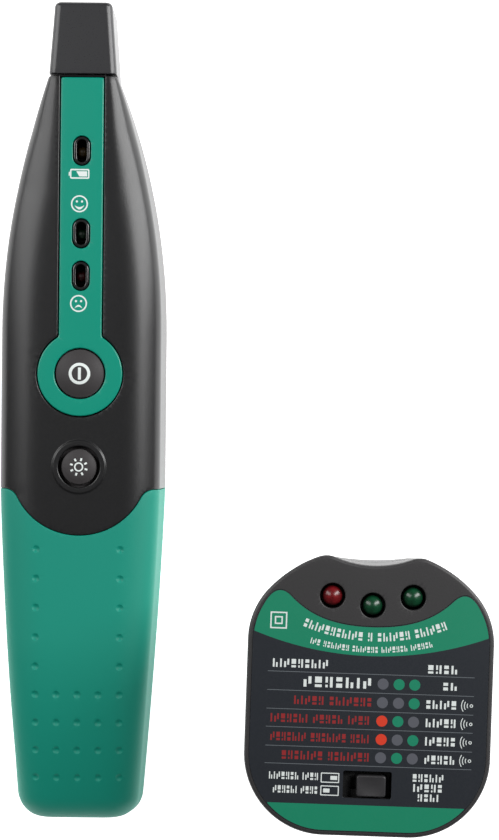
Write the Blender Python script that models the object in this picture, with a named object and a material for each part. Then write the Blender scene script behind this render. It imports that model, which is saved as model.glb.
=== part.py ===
"""A circuit breaker finder: a hand-held receiver and a plug-in transmitter with a socket tester.

Both lie face up, side by side, in metres with +Z up. The receiver points along +Y and rests on its
flat back. The transmitter stands on the tips of its mains pins, with its face upwards. The origin is
the middle of the pair, on the surface that they lie on.
"""

from math import asin, atan2, cos, pi, radians, sin, sqrt

import bmesh
import bpy
from mathutils import Matrix, Vector

# ---- driving dimensions ------------------------------------------------------------------------

CLEARANCE = 0.0003

RECEIVER_PLACE = (-0.0420, 0.0, 0.0)
TRANSMITTER_PLACE = (0.0334, -0.0703, 0.0)
TRANSMITTER_TURN = radians(-1.45)

# receiver body
BODY_HALF_WIDTH = 0.0222
BODY_THICK = 0.0330
BODY_TOP = 0.0889
BODY_END = -0.1090
PARTING_Z = 0.0160
WALL = 0.0022
FRONT_WALL = 0.0024
SHOULDER_START = 0.0200
SHOULDER_DROP = 0.0129
SHOULDER_POWER = 2.12
GRIP_START = -0.0180
GRIP_DROP = 0.0057
GRIP_POWER = 1.33
END_ROUND = 0.0070
BACK_RISE = 0.0090
BACK_RISE_START = 0.0300
FRONT_FLAT_WIDE = 0.0124
FRONT_FLAT_NARROW = 0.0063
FRONT_SLOPE_START = -0.0600
FRONT_SLOPE_DROP = 0.0080
BACK_CORNER = 0.0060

# sensor nose
NOSE_BASE = 0.0894
NOSE_TIP = 0.1085
NOSE_BASE_HALF = 0.0090
NOSE_TIP_HALF = 0.0076
NOSE_LOW = 0.0095
NOSE_HIGH = 0.0328
NOSE_CORNER = 0.0026
NOSE_WALL = 0.0018
# sections along the nose, each with how far it is drawn in
NOSE_STATIONS = [(NOSE_BASE, 0.0), (NOSE_TIP - 0.0022, 0.0), (NOSE_TIP - 0.0007, 0.0005), (NOSE_TIP, 0.0016)]
TORCH_HOLE = 0.0028
SPIGOT_HALF = 0.0066
SPIGOT_LOW = 0.0118
SPIGOT_HIGH = 0.0305
SPIGOT_END = 0.0940
SPIGOT_WALL = 0.0013

# front panel of the receiver
STRIP_HALF = 0.00565
STRIP_RING = 0.0112
STRIP_TOP = 0.0884
STRIP_THICK = 0.0013
STRIP_PROUD = 0.0001
POWER_Y = 0.0102
POWER_RADIUS = 0.00633
LAMP_Y = -0.0144
LAMP_RADIUS = 0.0046
LAMP_HOLE = 0.0054
LAMP_COLLAR = 0.00725
LAMP_COLLAR_PROUD = 0.0004
BUTTON_TRAVEL = 0.0008
WINDOW_PLACES = {"battery": 0.0690, "found": 0.0472, "search": 0.0360}
WINDOW_HALF = (0.0021, 0.0037)
WINDOW_SLOT = (0.00133, 0.00305)
TONGUE_RADIUS = 0.0184
TONGUE_LOW = -0.0325
TONGUE_SIDE = -0.0203
TONGUE_FILLET = 0.0040

# inside the receiver
BOARD_TOP = 0.0245
BOARD_THICK = 0.0016
SWITCH_SIDE = 0.0060
SWITCH_TOP = 0.0282
PLUNGER_RADIUS = 0.00175
BATTERY_SIZE = (0.0265, 0.0485, 0.0175)
BATTERY_END = -0.0415
BATTERY_LOW = 0.0046
DOOR_HALF = 0.0130
DOOR_START = -0.0400
DOOR_THICK = 0.0020

# screws
SCREW_HEAD = 0.0022
SCREW_SHAFT = 0.0011
SCREW_TIP = 0.0245
BOSS_RADIUS = 0.0024
BOSS_COVER = 0.0008
BORE_COVER = 0.0020
HEAD_BORE = 0.0027
HOUSING_SCREWS = [(-0.0095, 0.070), (0.0095, 0.070), (-0.0155, -0.002), (0.0155, -0.002)]
GRIP_SCREWS = [(-0.0155, -0.033), (0.0155, -0.033), (0.0, -0.1025)]
TESTER_SCREWS = [(-0.0215, 0.0180), (0.0215, 0.0180), (-0.0215, -0.0190), (0.0215, -0.0190)]

# transmitter
TESTER_HALF = 0.0308
TESTER_LOW = -0.0349
TESTER_FACE = 0.0660
TESTER_BACK = 0.0360
TESTER_PARTING = 0.0500
TESTER_WALL = 0.0020
TESTER_DRAFT = 0.0020
HOLLOW_FRONT = radians(22)
HOLLOW_BACK = radians(8)
TESTER_CORNER = 0.0203
TESTER_SHOULDER_FROM = 0.0136
TESTER_SHOULDER = [(0.0188, radians(42), 4), (0.0319, radians(27.2), 3)]
TESTER_BUMPS = {HOLLOW_FRONT: 0.0055, HOLLOW_BACK: 0.0080}
LABEL_INSET = 0.0013
LABEL_ARC = 0.0282
LABEL_ARC_LOW = 0.0176
LABEL_ARC_HALF = 0.0190
LABEL_LOBE = (0.0228, 0.0240)
LABEL_LOBE_RADIUS = 0.0020
LABEL_THICK = 0.0003
TESTER_LEDS = {"red": (-0.0100, 0.0249), "green_left": (0.0001, 0.0228), "green_right": (0.0101, 0.0251)}
TESTER_LED_RADIUS = 0.0025
TESTER_LED_HOLE = 0.00316
SLOT_PLACE = (0.0002, -0.0219)
SLOT_SIZE = (0.0120, 0.0067)
KNOB_PLACE = (0.0012, -0.0222)
KNOB_SIZE = (0.0073, 0.0053)
KNOB_TRAVEL = 0.0032
KNOB_STEM_HALF = (0.0015, 0.0012)
SWITCH_BODY_HALF = (0.0065, 0.0035)
SWITCH_BODY_DROP = 0.0043
PLUG_RADIUS = 0.0186
PLUG_LOW = 0.0190
PIN_RADIUS = 0.0024
PIN_SPACING = 0.0190
PIN_TOP = 0.0400
TESTER_BOARD_LOW = 0.0550

# ---- materials: colour, roughness, metallic ----------------------------------------------------

FINISHES = {
    "black_plastic": ((0.030, 0.030, 0.031), 0.42, 0.0),
    "dark_grey_plastic": ((0.045, 0.045, 0.048), 0.45, 0.0),
    "green_plastic": ((0.018, 0.270, 0.190), 0.45, 0.0),
    "label_film": ((0.028, 0.033, 0.040), 0.35, 0.0),
    "button_rubber": ((0.038, 0.036, 0.038), 0.55, 0.0),
    "amber_lens": ((0.420, 0.260, 0.060), 0.12, 0.0),
    "green_lens": ((0.010, 0.160, 0.070), 0.12, 0.0),
    "red_lens": ((0.300, 0.012, 0.012), 0.12, 0.0),
    "clear_lens": ((0.800, 0.820, 0.850), 0.10, 0.0),
    "board_laminate": ((0.020, 0.130, 0.050), 0.50, 0.0),
    "component_black": ((0.020, 0.020, 0.020), 0.50, 0.0),
    "ferrite": ((0.060, 0.058, 0.056), 0.70, 0.0),
    "copper_wire": ((0.720, 0.310, 0.160), 0.35, 1.0),
    "battery_jacket": ((0.150, 0.160, 0.180), 0.40, 0.0),
    "red_insulation": ((0.450, 0.020, 0.020), 0.50, 0.0),
    "black_insulation": ((0.020, 0.020, 0.020), 0.50, 0.0),
    "zinc_steel": ((0.560, 0.560, 0.550), 0.30, 1.0),
    "nickel_brass": ((0.660, 0.620, 0.520), 0.25, 1.0),
    "fuse_glass": ((0.700, 0.740, 0.740), 0.10, 0.0),
    "film_capacitor": ((0.500, 0.160, 0.030), 0.45, 0.0),
}


def finish(name):
    material = bpy.data.materials.get(name)
    if material:
        return material
    colour, roughness, metallic = FINISHES[name]
    material = bpy.data.materials.new(name)
    material.use_nodes = True
    shader = material.node_tree.nodes["Principled BSDF"]
    shader.inputs["Base Color"].default_value = (*colour, 1.0)
    shader.inputs["Roughness"].default_value = roughness
    shader.inputs["Metallic"].default_value = metallic
    return material


# ---- making objects ----------------------------------------------------------------------------

def clear_scene():
    for item in list(bpy.data.objects):
        bpy.data.objects.remove(item, do_unlink=True)


def empty(name, place, turn=0.0):
    item = bpy.data.objects.new(name, None)
    item.location = place
    item.rotation_euler = (0.0, 0.0, turn)
    bpy.context.scene.collection.objects.link(item)
    return item


def piece(name, mesh, parent, material, place=(0.0, 0.0, 0.0)):
    """Links a mesh to the scene as the object name, standing at place in its parent's frame."""
    item = bpy.data.objects.new(name, mesh)
    item.parent = parent
    item.location = place
    bpy.context.scene.collection.objects.link(item)
    mesh.materials.append(finish(material))
    mesh.shade_smooth()
    mesh.set_sharp_from_angle(angle=radians(32))
    return item


def mesh_from(build, name):
    mesh = bpy.data.meshes.new(name)
    bmesh.ops.recalc_face_normals(build, faces=build.faces)
    build.to_mesh(mesh)
    build.free()
    return mesh


def box_mesh(size, centre=(0.0, 0.0, 0.0)):
    build = bmesh.new()
    bmesh.ops.create_cube(build, size=1.0)
    bmesh.ops.scale(build, vec=size, verts=build.verts)
    bmesh.ops.translate(build, vec=centre, verts=build.verts)
    return mesh_from(build, "box")


def span_box(low, high):
    """A box given by its lowest and highest corners."""
    size = [b - a for a, b in zip(low, high)]
    centre = [(a + b) / 2 for a, b in zip(low, high)]
    return box_mesh(size, centre)


def rod_mesh(radius, start, end, axis="Z", sides=16, centre=(0.0, 0.0)):
    """A round rod along one axis from start to end; centre is its place on the other two axes."""
    build = bmesh.new()
    bmesh.ops.create_cone(
        build, cap_ends=True, segments=sides, radius1=radius, radius2=radius, depth=end - start
    )
    bmesh.ops.translate(build, vec=(0.0, 0.0, (start + end) / 2), verts=build.verts)
    turns = {"Z": Matrix(), "Y": Matrix.Rotation(-pi / 2, 4, "X"), "X": Matrix.Rotation(pi / 2, 4, "Y")}
    build.transform(turns[axis])
    across = {"Z": (0, 1), "Y": (0, 2), "X": (1, 2)}[axis]
    shift = [0.0, 0.0, 0.0]
    shift[across[0]] = centre[0]
    shift[across[1]] = centre[1]
    bmesh.ops.translate(build, vec=shift, verts=build.verts)
    return mesh_from(build, "rod")


def turned_mesh(profile, sides=24):
    """Spins a profile of (radius, height) points about +Z; a profile that ends off the axis is a ring."""
    build = bmesh.new()
    points = [build.verts.new((radius, 0.0, height)) for radius, height in profile]
    edges = [build.edges.new(pair) for pair in zip(points, points[1:])]
    if profile[0][0] > 0.0:
        edges.append(build.edges.new((points[-1], points[0])))
    bmesh.ops.spin(
        build, geom=points + edges, cent=(0, 0, 0), axis=(0, 0, 1), angle=2 * pi, steps=sides
    )
    bmesh.ops.remove_doubles(build, verts=build.verts, dist=1e-7)
    return mesh_from(build, "turned")


def plate_mesh(outline, low, high):
    """An outline of (x, y) points made a plate from height low to height high."""
    build = bmesh.new()
    face = build.faces.new([build.verts.new((x, y, low)) for x, y in outline])
    raised = bmesh.ops.extrude_face_region(build, geom=[face])["geom"]
    tops = [item for item in raised if isinstance(item, bmesh.types.BMVert)]
    bmesh.ops.translate(build, vec=(0.0, 0.0, high - low), verts=tops)
    return mesh_from(build, "plate")


def loft_mesh(rings):
    """Closed rings of equal length, joined one to the next and capped at both ends."""
    build = bmesh.new()
    loops = [[build.verts.new(point) for point in ring] for ring in rings]
    count = len(rings[0])
    for near, far in zip(loops, loops[1:]):
        for i in range(count):
            j = (i + 1) % count
            build.faces.new((near[i], near[j], far[j], far[i]))
    build.faces.new(loops[0])
    build.faces.new(loops[-1])
    return mesh_from(build, "loft")


def tool(name, mesh, parent):
    """A helper solid for a Boolean, left out of the model."""
    item = bpy.data.objects.new("tool_" + name, mesh)
    item.parent = parent
    item.hide_render = True
    item.display_type = "WIRE"
    bpy.context.scene.collection.objects.link(item)
    return item


def combine(item, other, operation):
    modifier = item.modifiers.new(operation.lower(), "BOOLEAN")
    modifier.operation = operation
    modifier.solver = "EXACT"
    modifier.object = other


def cut(item, name, mesh):
    combine(item, tool(name, mesh, item.parent), "DIFFERENCE")


def add(item, name, mesh):
    combine(item, tool(name, mesh, item.parent), "UNION")


# ---- outlines ----------------------------------------------------------------------------------

def arc(centre, radius, start, end, steps):
    """Points on a circle from angle start to angle end, both included."""
    angles = [start + (end - start) * i / steps for i in range(steps + 1)]
    return [(centre[0] + radius * cos(a), centre[1] + radius * sin(a)) for a in angles]


def obround(centre, half_width, half_length, steps=6):
    """A slot with round ends, long along Y."""
    reach = half_length - half_width
    top = arc((centre[0], centre[1] + reach), half_width, 0.0, pi, steps)
    bottom = arc((centre[0], centre[1] - reach), half_width, pi, 2 * pi, steps)
    return top + bottom


def turtle(start, heading, moves):
    """A path of arcs: each move turns by an angle at a radius, left where the angle is positive."""
    points = [start]
    x, y = start
    for radius, turn, steps in moves:
        side = 1.0 if turn > 0.0 else -1.0
        for _ in range(steps):
            after = heading + turn / steps
            x += side * radius * (sin(after) - sin(heading))
            y -= side * radius * (cos(after) - cos(heading))
            heading = after
            points.append((x, y))
    return points


def inset(outline, distance):
    """Moves each point of an anticlockwise outline inwards, square to its neighbours' chord."""
    count = len(outline)
    moved = []
    for i, (x, y) in enumerate(outline):
        before = Vector(outline[i - 1])
        after = Vector(outline[(i + 1) % count])
        along = (after - before).normalized()
        moved.append((x - along.y * distance, y + along.x * distance))
    return moved


# ---- receiver body shape -----------------------------------------------------------------------

def end_share(y):
    """1 along the body, falling like a rounded corner over the last stretch of the grip."""
    t = (BODY_END + END_ROUND - y) / END_ROUND
    return 1.0 if t <= 0.0 else (1.0 - min(t, 0.97) ** 3.5) ** (1.0 / 2.8)


def half_width(y):
    """Half width at the parting plane: straight sides, a shoulder taper above and a grip taper below."""
    wide = BODY_HALF_WIDTH
    if y > SHOULDER_START:
        share = (y - SHOULDER_START) / (BODY_TOP - SHOULDER_START)
        wide -= SHOULDER_DROP * share ** SHOULDER_POWER
    if y < GRIP_START:
        share = (GRIP_START - y) / (GRIP_START - BODY_END)
        wide -= GRIP_DROP * share ** GRIP_POWER
    return wide * end_share(y)


def front_height(y):
    high = BODY_THICK
    if y < FRONT_SLOPE_START:
        share = (FRONT_SLOPE_START - y) / (FRONT_SLOPE_START - BODY_END)
        high -= FRONT_SLOPE_DROP * share ** 2
    return PARTING_Z + (high - PARTING_Z) * (0.35 + 0.65 * end_share(y))


def back_height(y):
    low = 0.0
    if y > BACK_RISE_START:
        share = (y - BACK_RISE_START) / (BODY_TOP - BACK_RISE_START)
        low = BACK_RISE * share ** 1.8
    return PARTING_Z - (PARTING_Z - low) * (0.35 + 0.65 * end_share(y))


def front_flat(y):
    """Half width of the flat middle of the front face."""
    share = min(max((y - SHOULDER_START) / (BODY_TOP - SHOULDER_START), 0.0), 1.0)
    flat = FRONT_FLAT_WIDE + (FRONT_FLAT_NARROW - FRONT_FLAT_WIDE) * share
    return min(flat, half_width(y) * 0.7)


def body_ring(y, wall=0.0, front_wall=0.0, steps=6):
    """One cross-section of the body at y, moved inwards by the wall, anticlockwise seen from -Y."""
    wide = half_width(y) - wall
    high = front_height(y) - front_wall
    low = back_height(y) + wall
    flat = front_flat(y) - wall * 0.4
    under = max(wide - BACK_CORNER, wide * 0.5)
    angles = [i * pi / 2 / steps for i in range(steps)]
    half = [
        (under + (wide - under) * sin(a) ** 0.8, PARTING_Z - (PARTING_Z - low) * cos(a) ** 0.8)
        for a in angles
    ]
    half += [
        (flat + (wide - flat) * cos(a) ** 0.91, PARTING_Z + (high - PARTING_Z) * sin(a) ** 0.91)
        for a in angles
    ]
    half.append((flat, high))
    right = [(x, y, z) for x, z in half]
    left = [(-x, y, z) for x, z in reversed(half)]
    return right + left


def block_ring(y, half, low, high, corner, steps=3):
    """A rounded rectangle in the XZ plane, anticlockwise seen from -Y."""
    points = []
    corners = [
        (half - corner, low + corner, -pi / 2),
        (half - corner, high - corner, 0.0),
        (-half + corner, high - corner, pi / 2),
        (-half + corner, low + corner, pi),
    ]
    for x, z, start in corners:
        points += arc((x, z), corner, start, start + pi / 2, steps)
    return [(x, y, z) for x, z in points]


# ---- receiver: casings -------------------------------------------------------------------------

BODY_STATIONS = [
    BODY_TOP, 0.082, 0.073, 0.064, 0.055, 0.046, 0.036, 0.024, 0.008, -0.018, -0.040,
    -0.060, -0.080, -0.095, BODY_END + END_ROUND, -0.1042, -0.1062, -0.1076, BODY_END,
]
CAVITY_STATIONS = [
    BODY_TOP - WALL, 0.073, 0.060, 0.046, 0.030, 0.008, -0.020, -0.050, -0.080, -0.0985, -0.1040, -0.1062,
]
FAR = 0.2


def body_solid():
    return loft_mesh([body_ring(y) for y in BODY_STATIONS])


def body_cavity():
    return loft_mesh([body_ring(y, WALL, FRONT_WALL, steps=4) for y in CAVITY_STATIONS])


def spigot(wall, start, end):
    half = SPIGOT_HALF - wall
    low = SPIGOT_LOW + wall
    high = SPIGOT_HIGH - wall
    return loft_mesh([block_ring(y, half, low, high, 0.0018, steps=2) for y in (start, end)])


def tongue_outline(margin, upper):
    """The area above (or below) the line where the black casing meets the green grip.

    The line runs straight in from each side, turns down in a fillet and meets a round tongue.
    The margin moves the line away from the area, so that a groove is left between the two casings.
    """
    radius = TONGUE_RADIUS - margin
    centre_y = TONGUE_LOW + TONGUE_RADIUS
    side = TONGUE_SIDE + margin
    fillet = TONGUE_FILLET + margin
    # the fillet's circle touches the side line from above and the tongue's circle from outside
    reach = radius + fillet
    drop = side - fillet - centre_y
    across = sqrt(reach ** 2 - drop ** 2)
    meet = atan2(drop, across)
    line = [(FAR, side)]
    line += arc((across, side - fillet), fillet, pi / 2, pi + meet, 5)
    line += arc((0.0, centre_y), radius, meet, -pi - meet, 18)
    line += arc((-across, side - fillet), fillet, -meet, pi / 2, 5)
    line.append((-FAR, side))
    edge = FAR if upper else -FAR
    return line + [(-FAR, edge), (FAR, edge)]


def casing(name, parent, material, front, upper):
    """One quarter of the receiver's casing: front or rear shell, of the upper body or of the grip."""
    item = piece(name, body_solid(), parent, material)
    if upper:
        add(item, name + "_spigot", spigot(0.0, BODY_TOP - 0.003, SPIGOT_END))
        cut(item, name + "_spigot_bore", spigot(SPIGOT_WALL, BODY_TOP - 0.004, SPIGOT_END + 0.002))
    cut(item, name + "_cavity", body_cavity())
    if front:
        other_half = span_box((-FAR, -FAR, -FAR), (FAR, FAR, PARTING_Z + CLEARANCE / 2))
    else:
        other_half = span_box((-FAR, -FAR, PARTING_Z - CLEARANCE / 2), (FAR, FAR, FAR))
    cut(item, name + "_other_half", other_half)
    margin = 0.0002 if upper else -0.0002
    cut(item, name + "_other_end", plate_mesh(tongue_outline(margin, not upper), -0.01, 0.05))
    return item


def front_surface(x, y):
    """Height of the front face of the body over the point (x, y)."""
    wide = half_width(y)
    flat = front_flat(y)
    u = max(abs(x) - flat, 0.0) / (wide - flat)
    return PARTING_Z + (front_height(y) - PARTING_Z) * (1.0 - u ** 2.2) ** (1 / 2.2)


def back_surface(x, y):
    """Height of the back of the body under the point (x, y)."""
    wide = half_width(y)
    under = max(wide - BACK_CORNER, wide * 0.5)
    u = max(abs(x) - under, 0.0) / (wide - under)
    return PARTING_Z - (PARTING_Z - back_height(y)) * (1.0 - u ** 2.5) ** (1 / 2.5)


def screw_seat(x, y):
    """The height that the head of a screw bears on, inside the boss of the rear shell."""
    return back_surface(abs(x) + HEAD_BORE, y) + WALL + 0.0030


def boss_top(x, y):
    """The height where a front shell's screw boss ends, inside the thickness of the front wall."""
    return front_surface(abs(x) + BOSS_RADIUS, y) - BOSS_COVER


def add_front_boss(item, x, y):
    """A screw boss on the inside of a front shell, open at the parting plane."""
    label = f"{item.name}_boss_{round(x * 1e4)}_{round(y * 1e4)}"
    top = boss_top(x, y)
    foot = PARTING_Z + CLEARANCE * 2
    add(item, label, rod_mesh(BOSS_RADIUS, foot, top, sides=10, centre=(x, y)))
    cut(item, label + "_bore", rod_mesh(SCREW_SHAFT + CLEARANCE, foot - 0.001, top - BORE_COVER, sides=8,
                                        centre=(x, y)))


def add_rear_boss(item, x, y):
    """A screw boss on the inside of a rear shell, with a counterbore for the head from outside."""
    label = f"{item.name}_boss_{round(x * 1e4)}_{round(y * 1e4)}"
    top = PARTING_Z - CLEARANCE * 2
    seat = screw_seat(x, y)
    radius = HEAD_BORE + 0.0008
    foot = back_surface(abs(x) + radius, y) + 0.0006
    add(item, label, rod_mesh(radius, foot, top, sides=12, centre=(x, y)))
    cut(item, label + "_head", rod_mesh(HEAD_BORE, -0.002, seat, sides=12, centre=(x, y)))
    cut(item, label + "_bore", rod_mesh(SCREW_SHAFT + CLEARANCE, seat - 0.001, top + 0.001, sides=8,
                                        centre=(x, y)))


def screw_mesh(head_low, tip):
    """A pan-head screw that points up, from the low face of its head to its tip."""
    head_top = head_low + 0.0016
    profile = [
        (0.0, tip), (SCREW_SHAFT, tip - 0.0012), (SCREW_SHAFT, head_top), (SCREW_HEAD, head_top),
        (SCREW_HEAD, head_low + 0.0005), (SCREW_HEAD * 0.75, head_low), (0.0, head_low),
    ]
    return turned_mesh(profile, sides=10)


def strip_outline(margin):
    """The keyhole-shaped front panel: a straight strip that ends in a disc round the power button."""
    radius = STRIP_RING + margin
    half = STRIP_HALF + margin
    start = asin(half / radius)
    ring = arc((0.0, POWER_Y), radius, pi / 2 - start, -3 * pi / 2 + start, 28)
    return [(half, STRIP_TOP + margin)] + ring + [(-half, STRIP_TOP + margin)]


def receiver_casings(receiver):
    front = casing("front_housing", receiver, "black_plastic", True, True)
    collar = turned_mesh(
        [
            (LAMP_HOLE - 0.0004, BODY_THICK - 0.0010), (LAMP_COLLAR, BODY_THICK - 0.0010),
            (LAMP_COLLAR, BODY_THICK), (LAMP_COLLAR - 0.0006, BODY_THICK + LAMP_COLLAR_PROUD),
            (LAMP_HOLE - 0.0004, BODY_THICK + LAMP_COLLAR_PROUD * 0.5),
        ]
    )
    collar.transform(Matrix.Translation((0.0, LAMP_Y, 0.0)))
    add(front, "lamp_collar", collar)
    for x, y in HOUSING_SCREWS:
        add_front_boss(front, x, y)
    floor = BODY_THICK - STRIP_THICK - CLEARANCE
    cut(front, "strip_recess", plate_mesh(strip_outline(CLEARANCE), floor, BODY_THICK + 0.002))
    cut(front, "power_hole", rod_mesh(POWER_RADIUS + 0.0004, 0.028, 0.036, sides=24, centre=(0.0, POWER_Y)))
    cut(front, "lamp_hole", rod_mesh(LAMP_HOLE, 0.028, 0.036, sides=24, centre=(0.0, LAMP_Y)))
    for name, y in WINDOW_PLACES.items():
        hole = obround((0.0, y), WINDOW_HALF[0] + CLEARANCE, WINDOW_HALF[1] + CLEARANCE)
        cut(front, name + "_hole", plate_mesh(hole, 0.028, 0.036))

    rear = casing("rear_housing", receiver, "black_plastic", False, True)
    grip_front = casing("grip_front", receiver, "green_plastic", True, False)
    grip_rear = casing("grip_rear", receiver, "green_plastic", False, False)
    for x, y in HOUSING_SCREWS:
        add_rear_boss(rear, x, y)
    for x, y in GRIP_SCREWS:
        add_front_boss(grip_front, x, y)
        add_rear_boss(grip_rear, x, y)
    gap = CLEARANCE
    opening = span_box((-DOOR_HALF - gap, -FAR, -0.01), (DOOR_HALF + gap, DOOR_START + gap, DOOR_THICK + gap))
    cut(grip_rear, "door_opening", opening)
    well = span_box(
        (-BATTERY_SIZE[0] / 2 - gap, BATTERY_END - BATTERY_SIZE[1] - 0.001, 0.0),
        (BATTERY_SIZE[0] / 2 + gap, DOOR_START - 0.001, 0.006),
    )
    cut(grip_rear, "battery_well", well)


def battery_door(receiver):
    door = piece("battery_door", body_solid(), receiver, "green_plastic")
    low = (-DOOR_HALF, -FAR, -0.01)
    high = (DOOR_HALF, DOOR_START, DOOR_THICK)
    combine(door, tool("door_part", span_box(low, high), receiver), "INTERSECT")


def sensor_nose(receiver):
    def ring(y, shrink):
        share = (y - NOSE_BASE) / (NOSE_TIP - NOSE_BASE)
        half = NOSE_BASE_HALF + (NOSE_TIP_HALF - NOSE_BASE_HALF) * share - shrink
        return block_ring(y, half, NOSE_LOW + shrink, NOSE_HIGH - shrink, NOSE_CORNER)

    nose = piece("sensor_nose", loft_mesh([ring(y, shrink) for y, shrink in NOSE_STATIONS]), receiver,
                 "dark_grey_plastic")
    inner = [ring(y, NOSE_WALL) for y in (NOSE_BASE - 0.001, NOSE_TIP - NOSE_WALL)]
    cut(nose, "nose_cavity", loft_mesh(inner))
    middle = (NOSE_LOW + NOSE_HIGH) / 2
    cut(nose, "torch_hole", rod_mesh(TORCH_HOLE, NOSE_TIP - 0.0025, NOSE_TIP + 0.0035, "Y",
                                     centre=(0.0, middle)))


# ---- receiver: front panel and buttons ---------------------------------------------------------

def indicator_strip(receiver):
    low = BODY_THICK - STRIP_THICK
    strip = piece("indicator_strip", plate_mesh(strip_outline(0.0), low, BODY_THICK + STRIP_PROUD),
                  receiver, "green_plastic")
    cut(strip, "strip_power", rod_mesh(POWER_RADIUS + 0.0004, 0.028, 0.036, sides=24, centre=(0.0, POWER_Y)))
    for name, y in WINDOW_PLACES.items():
        hole = obround((0.0, y), WINDOW_HALF[0] + CLEARANCE, WINDOW_HALF[1] + CLEARANCE)
        cut(strip, "strip_" + name, plate_mesh(hole, 0.028, 0.036))


def indicator(name, y, lens, receiver):
    """A window frame in the strip, with the small lamp that stands under it on the board."""
    frame = piece(f"{name}_window", plate_mesh(obround((0.0, 0.0), *WINDOW_HALF), -0.0021, 0.0002),
                  receiver, "black_plastic", (0.0, y, BODY_THICK))
    slot = plate_mesh(obround((0.0, y), *WINDOW_SLOT), 0.028, 0.036)
    cut(frame, name + "_slot", slot)
    foot = BOARD_TOP + CLEARANCE
    profile = [
        (0.0, 0.0306), (0.0008, 0.0304), (0.0013, 0.0298), (0.0015, 0.0291), (0.0015, foot + 0.0010),
        (0.0019, foot + 0.0010), (0.0019, foot), (0.0, foot),
    ]
    piece(f"{name}_led", turned_mesh(profile, sides=14), receiver, lens, (0.0, y, 0.0))


def button(name, y, radius, hole, crown, receiver):
    """A push button: a domed cap with a hidden flange, and the switch and plunger under it.

    The cap's origin is on its pressing axis at the level of the front face.
    """
    under = SWITCH_TOP + 0.0010 - BODY_THICK
    flange = hole + 0.0010
    profile = [
        (0.0, crown), (radius * 0.40, crown * 0.93), (radius * 0.72, crown * 0.70),
        (radius * 0.92, crown * 0.36), (radius, -0.0001), (radius, under + 0.0010),
        (flange, under + 0.0010), (flange, under), (0.0, under),
    ]
    piece(f"{name}_button", turned_mesh(profile, sides=28), receiver, "button_rubber", (0.0, y, BODY_THICK))

    body_low = BOARD_TOP + CLEARANCE
    half = SWITCH_SIDE / 2
    body = piece(f"{name}_switch", span_box((-half, -half, body_low), (half, half, SWITCH_TOP)),
                 receiver, "component_black", (0.0, y, 0.0))
    well = rod_mesh(PLUNGER_RADIUS + CLEARANCE, SWITCH_TOP - 0.0018, SWITCH_TOP + 0.001, sides=14,
                    centre=(0.0, y))
    cut(body, name + "_switch_well", well)
    plunger = rod_mesh(PLUNGER_RADIUS, SWITCH_TOP - 0.0007, SWITCH_TOP + 0.0007, sides=14)
    piece(f"{name}_plunger", plunger, receiver, "component_black", (0.0, y, 0.0))


# ---- receiver: inside --------------------------------------------------------------------------

def receiver_board(receiver):
    outline = [
        (0.012, -0.034), (0.012, 0.040), (0.006, 0.066), (0.005, 0.084),
        (-0.005, 0.084), (-0.006, 0.066), (-0.012, 0.040), (-0.012, -0.034),
    ]
    piece("receiver_board", plate_mesh(outline, BOARD_TOP - BOARD_THICK, BOARD_TOP), receiver,
          "board_laminate")
    top = BOARD_TOP + CLEARANCE
    piece("controller_chip", span_box((-0.004, -0.0065, top), (0.004, 0.0015, top + 0.0016)), receiver,
          "component_black")
    under = BOARD_TOP - BOARD_THICK - CLEARANCE
    piece("buzzer", rod_mesh(0.006, under - 0.005, under, sides=20), receiver, "component_black",
          (0.0, -0.022, 0.0))


def sensor_coil(receiver):
    middle = (NOSE_LOW + NOSE_HIGH) / 2
    piece("pickup_core", rod_mesh(0.0026, -0.0060, 0.0060, "Y", sides=12), receiver, "ferrite",
          (0.0, 0.0980, middle))
    ring = turned_mesh(
        [(0.0029, 0.0036), (0.0029, -0.0036), (0.0048, -0.0036), (0.0048, 0.0036)], sides=18
    )
    ring.transform(Matrix.Rotation(pi / 2, 4, "X"))
    piece("pickup_coil", ring, receiver, "copper_wire", (0.0, 0.0987, middle))
    profile = [
        (0.0, 0.0038), (0.0012, 0.0035), (0.0021, 0.0026), (0.0025, 0.0014), (0.0025, 0.0012),
        (0.0029, 0.0012), (0.0029, 0.0), (0.0, 0.0),
    ]
    lamp = turned_mesh(profile, sides=16)
    lamp.transform(Matrix.Rotation(-pi / 2, 4, "X"))
    piece("torch_led", lamp, receiver, "clear_lens", (0.0, 0.1048, middle))


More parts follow.
